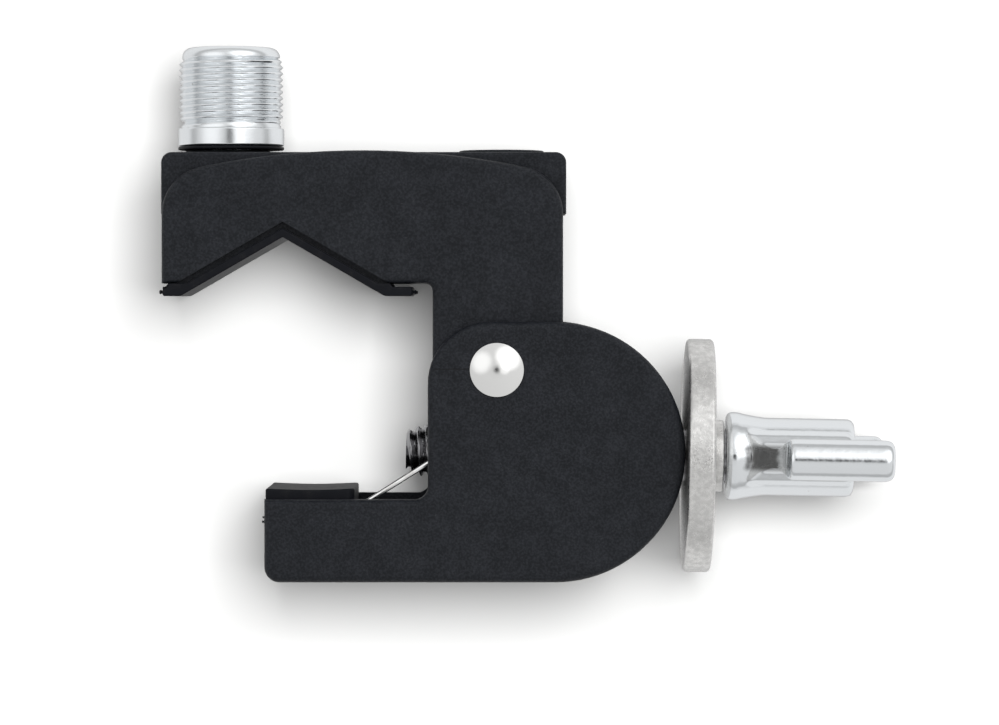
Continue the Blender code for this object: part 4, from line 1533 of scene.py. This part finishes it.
@dataclass(frozen=True)
class WhiteRoom:
    """What the bright metal reflects: a white room that is darker at its sides, front and back.

    The ramp runs from the back, 0, to the front, 1.
    """

    ramp: tuple[Point, ...] = (
        (0.0, 0.42), (0.03, 0.62), (0.10, 0.88), (0.38, 0.90), (0.46, 0.74), (0.50, 0.50),
        (0.56, 0.55), (0.66, 0.78), (0.95, 0.78), (0.988, 0.74), (0.9955, 0.54), (0.9985, 0.14),
        (1.0, 0.05),
    )
    lean: Corner = (0.05, 0.0, 0.04)
    level: float = 0.96
    glows: tuple[Glow, ...] = (
        Glow((0.46, -0.74, 0.50), 0.80, 0.97, 0.8),
        Glow((-0.62, -0.72, 0.30), 0.84, 0.98, 0.5),
        Glow((0.33, -0.94, 0.05), 0.955, 0.988, 0.45),
    )

    def build(self) -> None:
        """Gives the scene its world, which the camera itself sees as plain white."""
        world = bpy.data.worlds.new("white_room")
        bpy.context.scene.world = world
        graph = Graph(world)
        direction = graph.output(graph.node("TexCoord"), "Generated")
        room = graph.ramp(graph.dot(direction, (0.0, -0.5, 0.0)) + 0.5, self.ramp)
        strength = graph.dot(direction, self.lean) + self.level
        for glow in self.glows:
            strength = strength + glow.light(graph, direction)
        seen = graph.output(graph.node("LightPath"), "Is Camera Ray")
        white = (1.0, 1.0, 1.0)
        graph.dress(Color=graph.mix(seen, room, white), Strength=seen + strength * (1.0 - seen))


@dataclass
class Studio:
    """A pale floor and backdrop, the lamps and the camera in front of the clamp."""

    distance: float = 0.716
    eye: tuple[float, float] = (0.4 * MM, 42.3 * MM)
    aim_height: float = 32.93 * MM
    view_width: float = 153.15 * MM
    stage_size: float = 3.0
    floor_z: float = -0.05 * MM
    backdrop_y: float = 18.6 * MM
    floor_fade: Point = (0.90, 0.80)
    backdrop_fade: Point = (0.10, 0.04)

    def build(self) -> None:
        """Sets up the studio."""
        floor = self.sheet("floor", self.pale_paper("floor_paper", 0.9, self.floor_fade))
        floor.location.z = self.floor_z
        backdrop = self.sheet("backdrop", self.pale_paper("backdrop_paper", 0.3, self.backdrop_fade))
        backdrop.location.y = self.backdrop_y
        backdrop.rotation_euler.x = QUARTER_TURN
        for sheet in (floor, backdrop):
            for ray in ("diffuse", "glossy", "transmission", "shadow"):
                setattr(sheet, f"visible_{ray}", False)
        self.camera()
        WhiteRoom().build()
        key = self.lamp("key", (0.42, -0.62, 0.62), 0.70, 3.4)
        fill = self.lamp("fill", (-0.55, -0.60, 0.25), 0.60, 1.0)
        wash = self.lamp("wash", (0.11, -1.00, 0.16), 0.44, 34.0)
        for lamp in (key, fill):
            self.light_only(lamp, [backdrop], "EXCLUDE")
            lamp.visible_glossy = False
        self.light_only(wash, [backdrop], "INCLUDE")
        bpy.context.scene.view_settings.view_transform = "Standard"

    @staticmethod
    def light_only(lamp: bpy.types.Object, sheets: Sequence[bpy.types.Object], state: str) -> None:
        """Lets a lamp light the sheets only, or everything but them.

        Args:
            lamp: the lamp.
            sheets: the sheets.
            state: INCLUDE or EXCLUDE.
        """
        receivers = bpy.data.collections.new(f"{lamp.name}_receivers")
        lamp.light_linking.receiver_collection = receivers
        for sheet in sheets:
            receivers.objects.link(sheet)
        for entry in receivers.collection_objects:
            entry.light_linking.link_state = state

    def sheet(self, name: str, material: bpy.types.Material) -> bpy.types.Object:
        """A large square sheet facing up, which isn't part of the clamp."""
        bm = bmesh.new()
        bmesh.ops.create_grid(bm, x_segments=1, y_segments=1, size=self.stage_size)
        sheet = solid(name, bm)
        sheet.data.materials.append(material)
        return sheet

    @staticmethod
    def pale_paper(name: str, white: float, fade: Point) -> bpy.types.Material:
        """Paper that shows when it is faced, and not from its back.

        Args:
            name: the material's name.
            white: how much light it returns.
            fade: the slants where it is gone and where it is whole, from 0, square on, to 1.

        Returns:
            The material.
        """
        graph = Graph.of(name)
        graph.dress(Base_Color=(white, white, white * 0.995), Roughness=0.9, Specular_IOR_Level=0.0)
        facing = graph.output(graph.node("LayerWeight", Blend=0.5), "Facing")
        back = graph.output(graph.node("NewGeometry"), "Backfacing")
        shown = graph.span(facing, *fade) * (1.0 - back)
        clear = graph.node("BsdfTransparent")
        both = graph.node("MixShader", Fac=shown)
        graph.tree.links.new(clear.outputs[0], both.inputs[1])
        graph.tree.links.new(graph.shader.outputs[0], both.inputs[2])
        graph.tree.links.new(both.outputs[0], graph.tree.nodes["Material Output"].inputs["Surface"])
        return graph.owner

    def camera(self) -> None:
        """The camera, square to the clamp's side and a little above its middle."""
        data = bpy.data.cameras.new("camera")
        camera = bpy.data.objects.new("camera", data)
        bpy.context.scene.collection.objects.link(camera)
        x, height = self.eye
        camera.location = (x, -self.distance, height)
        dip = math.atan2(height - self.aim_height, self.distance)
        camera.rotation_euler = (QUARTER_TURN - dip, 0.0, 0.0)
        data.sensor_width = 36.0
        data.lens = data.sensor_width * self.distance / self.view_width
        data.clip_start = 0.01
        bpy.context.scene.camera = camera

    @staticmethod
    def lamp(
        name: str, place: tuple[float, float, float], size: float, power: float
    ) -> bpy.types.Object:
        """A square soft light aimed at the clamp.

        Args:
            name: the light's name.
            place: where it stands.
            size: the length of its side.
            power: its power in watts.

        Returns:
            The light.
        """
        data = bpy.data.lights.new(name, "AREA")
        data.size = size
        data.energy = power
        lamp = bpy.data.objects.new(name, data)
        bpy.context.scene.collection.objects.link(lamp)
        lamp.location = place
        aim = Vector((0.0, 0.0, 0.03)) - Vector(place)
        lamp.rotation_euler = aim.to_track_quat("-Z", "Y").to_euler()
        return lamp


def main() -> None:
    """Builds the clamp, then the studio."""
    logging.basicConfig(level=logging.INFO, format="%(name)s: %(message)s")
    shop = Workshop(Finishes.make())
    Studio().build()
    seat = Seat()
    for part in (UpperJaw(seat), LowerArm(), Pads(seat), Hinge(), Stud(), WingScrew()):
        part.build(shop)
        LOG.info("%s is built", type(part).__name__)


if __name__ == "__main__":
    main()
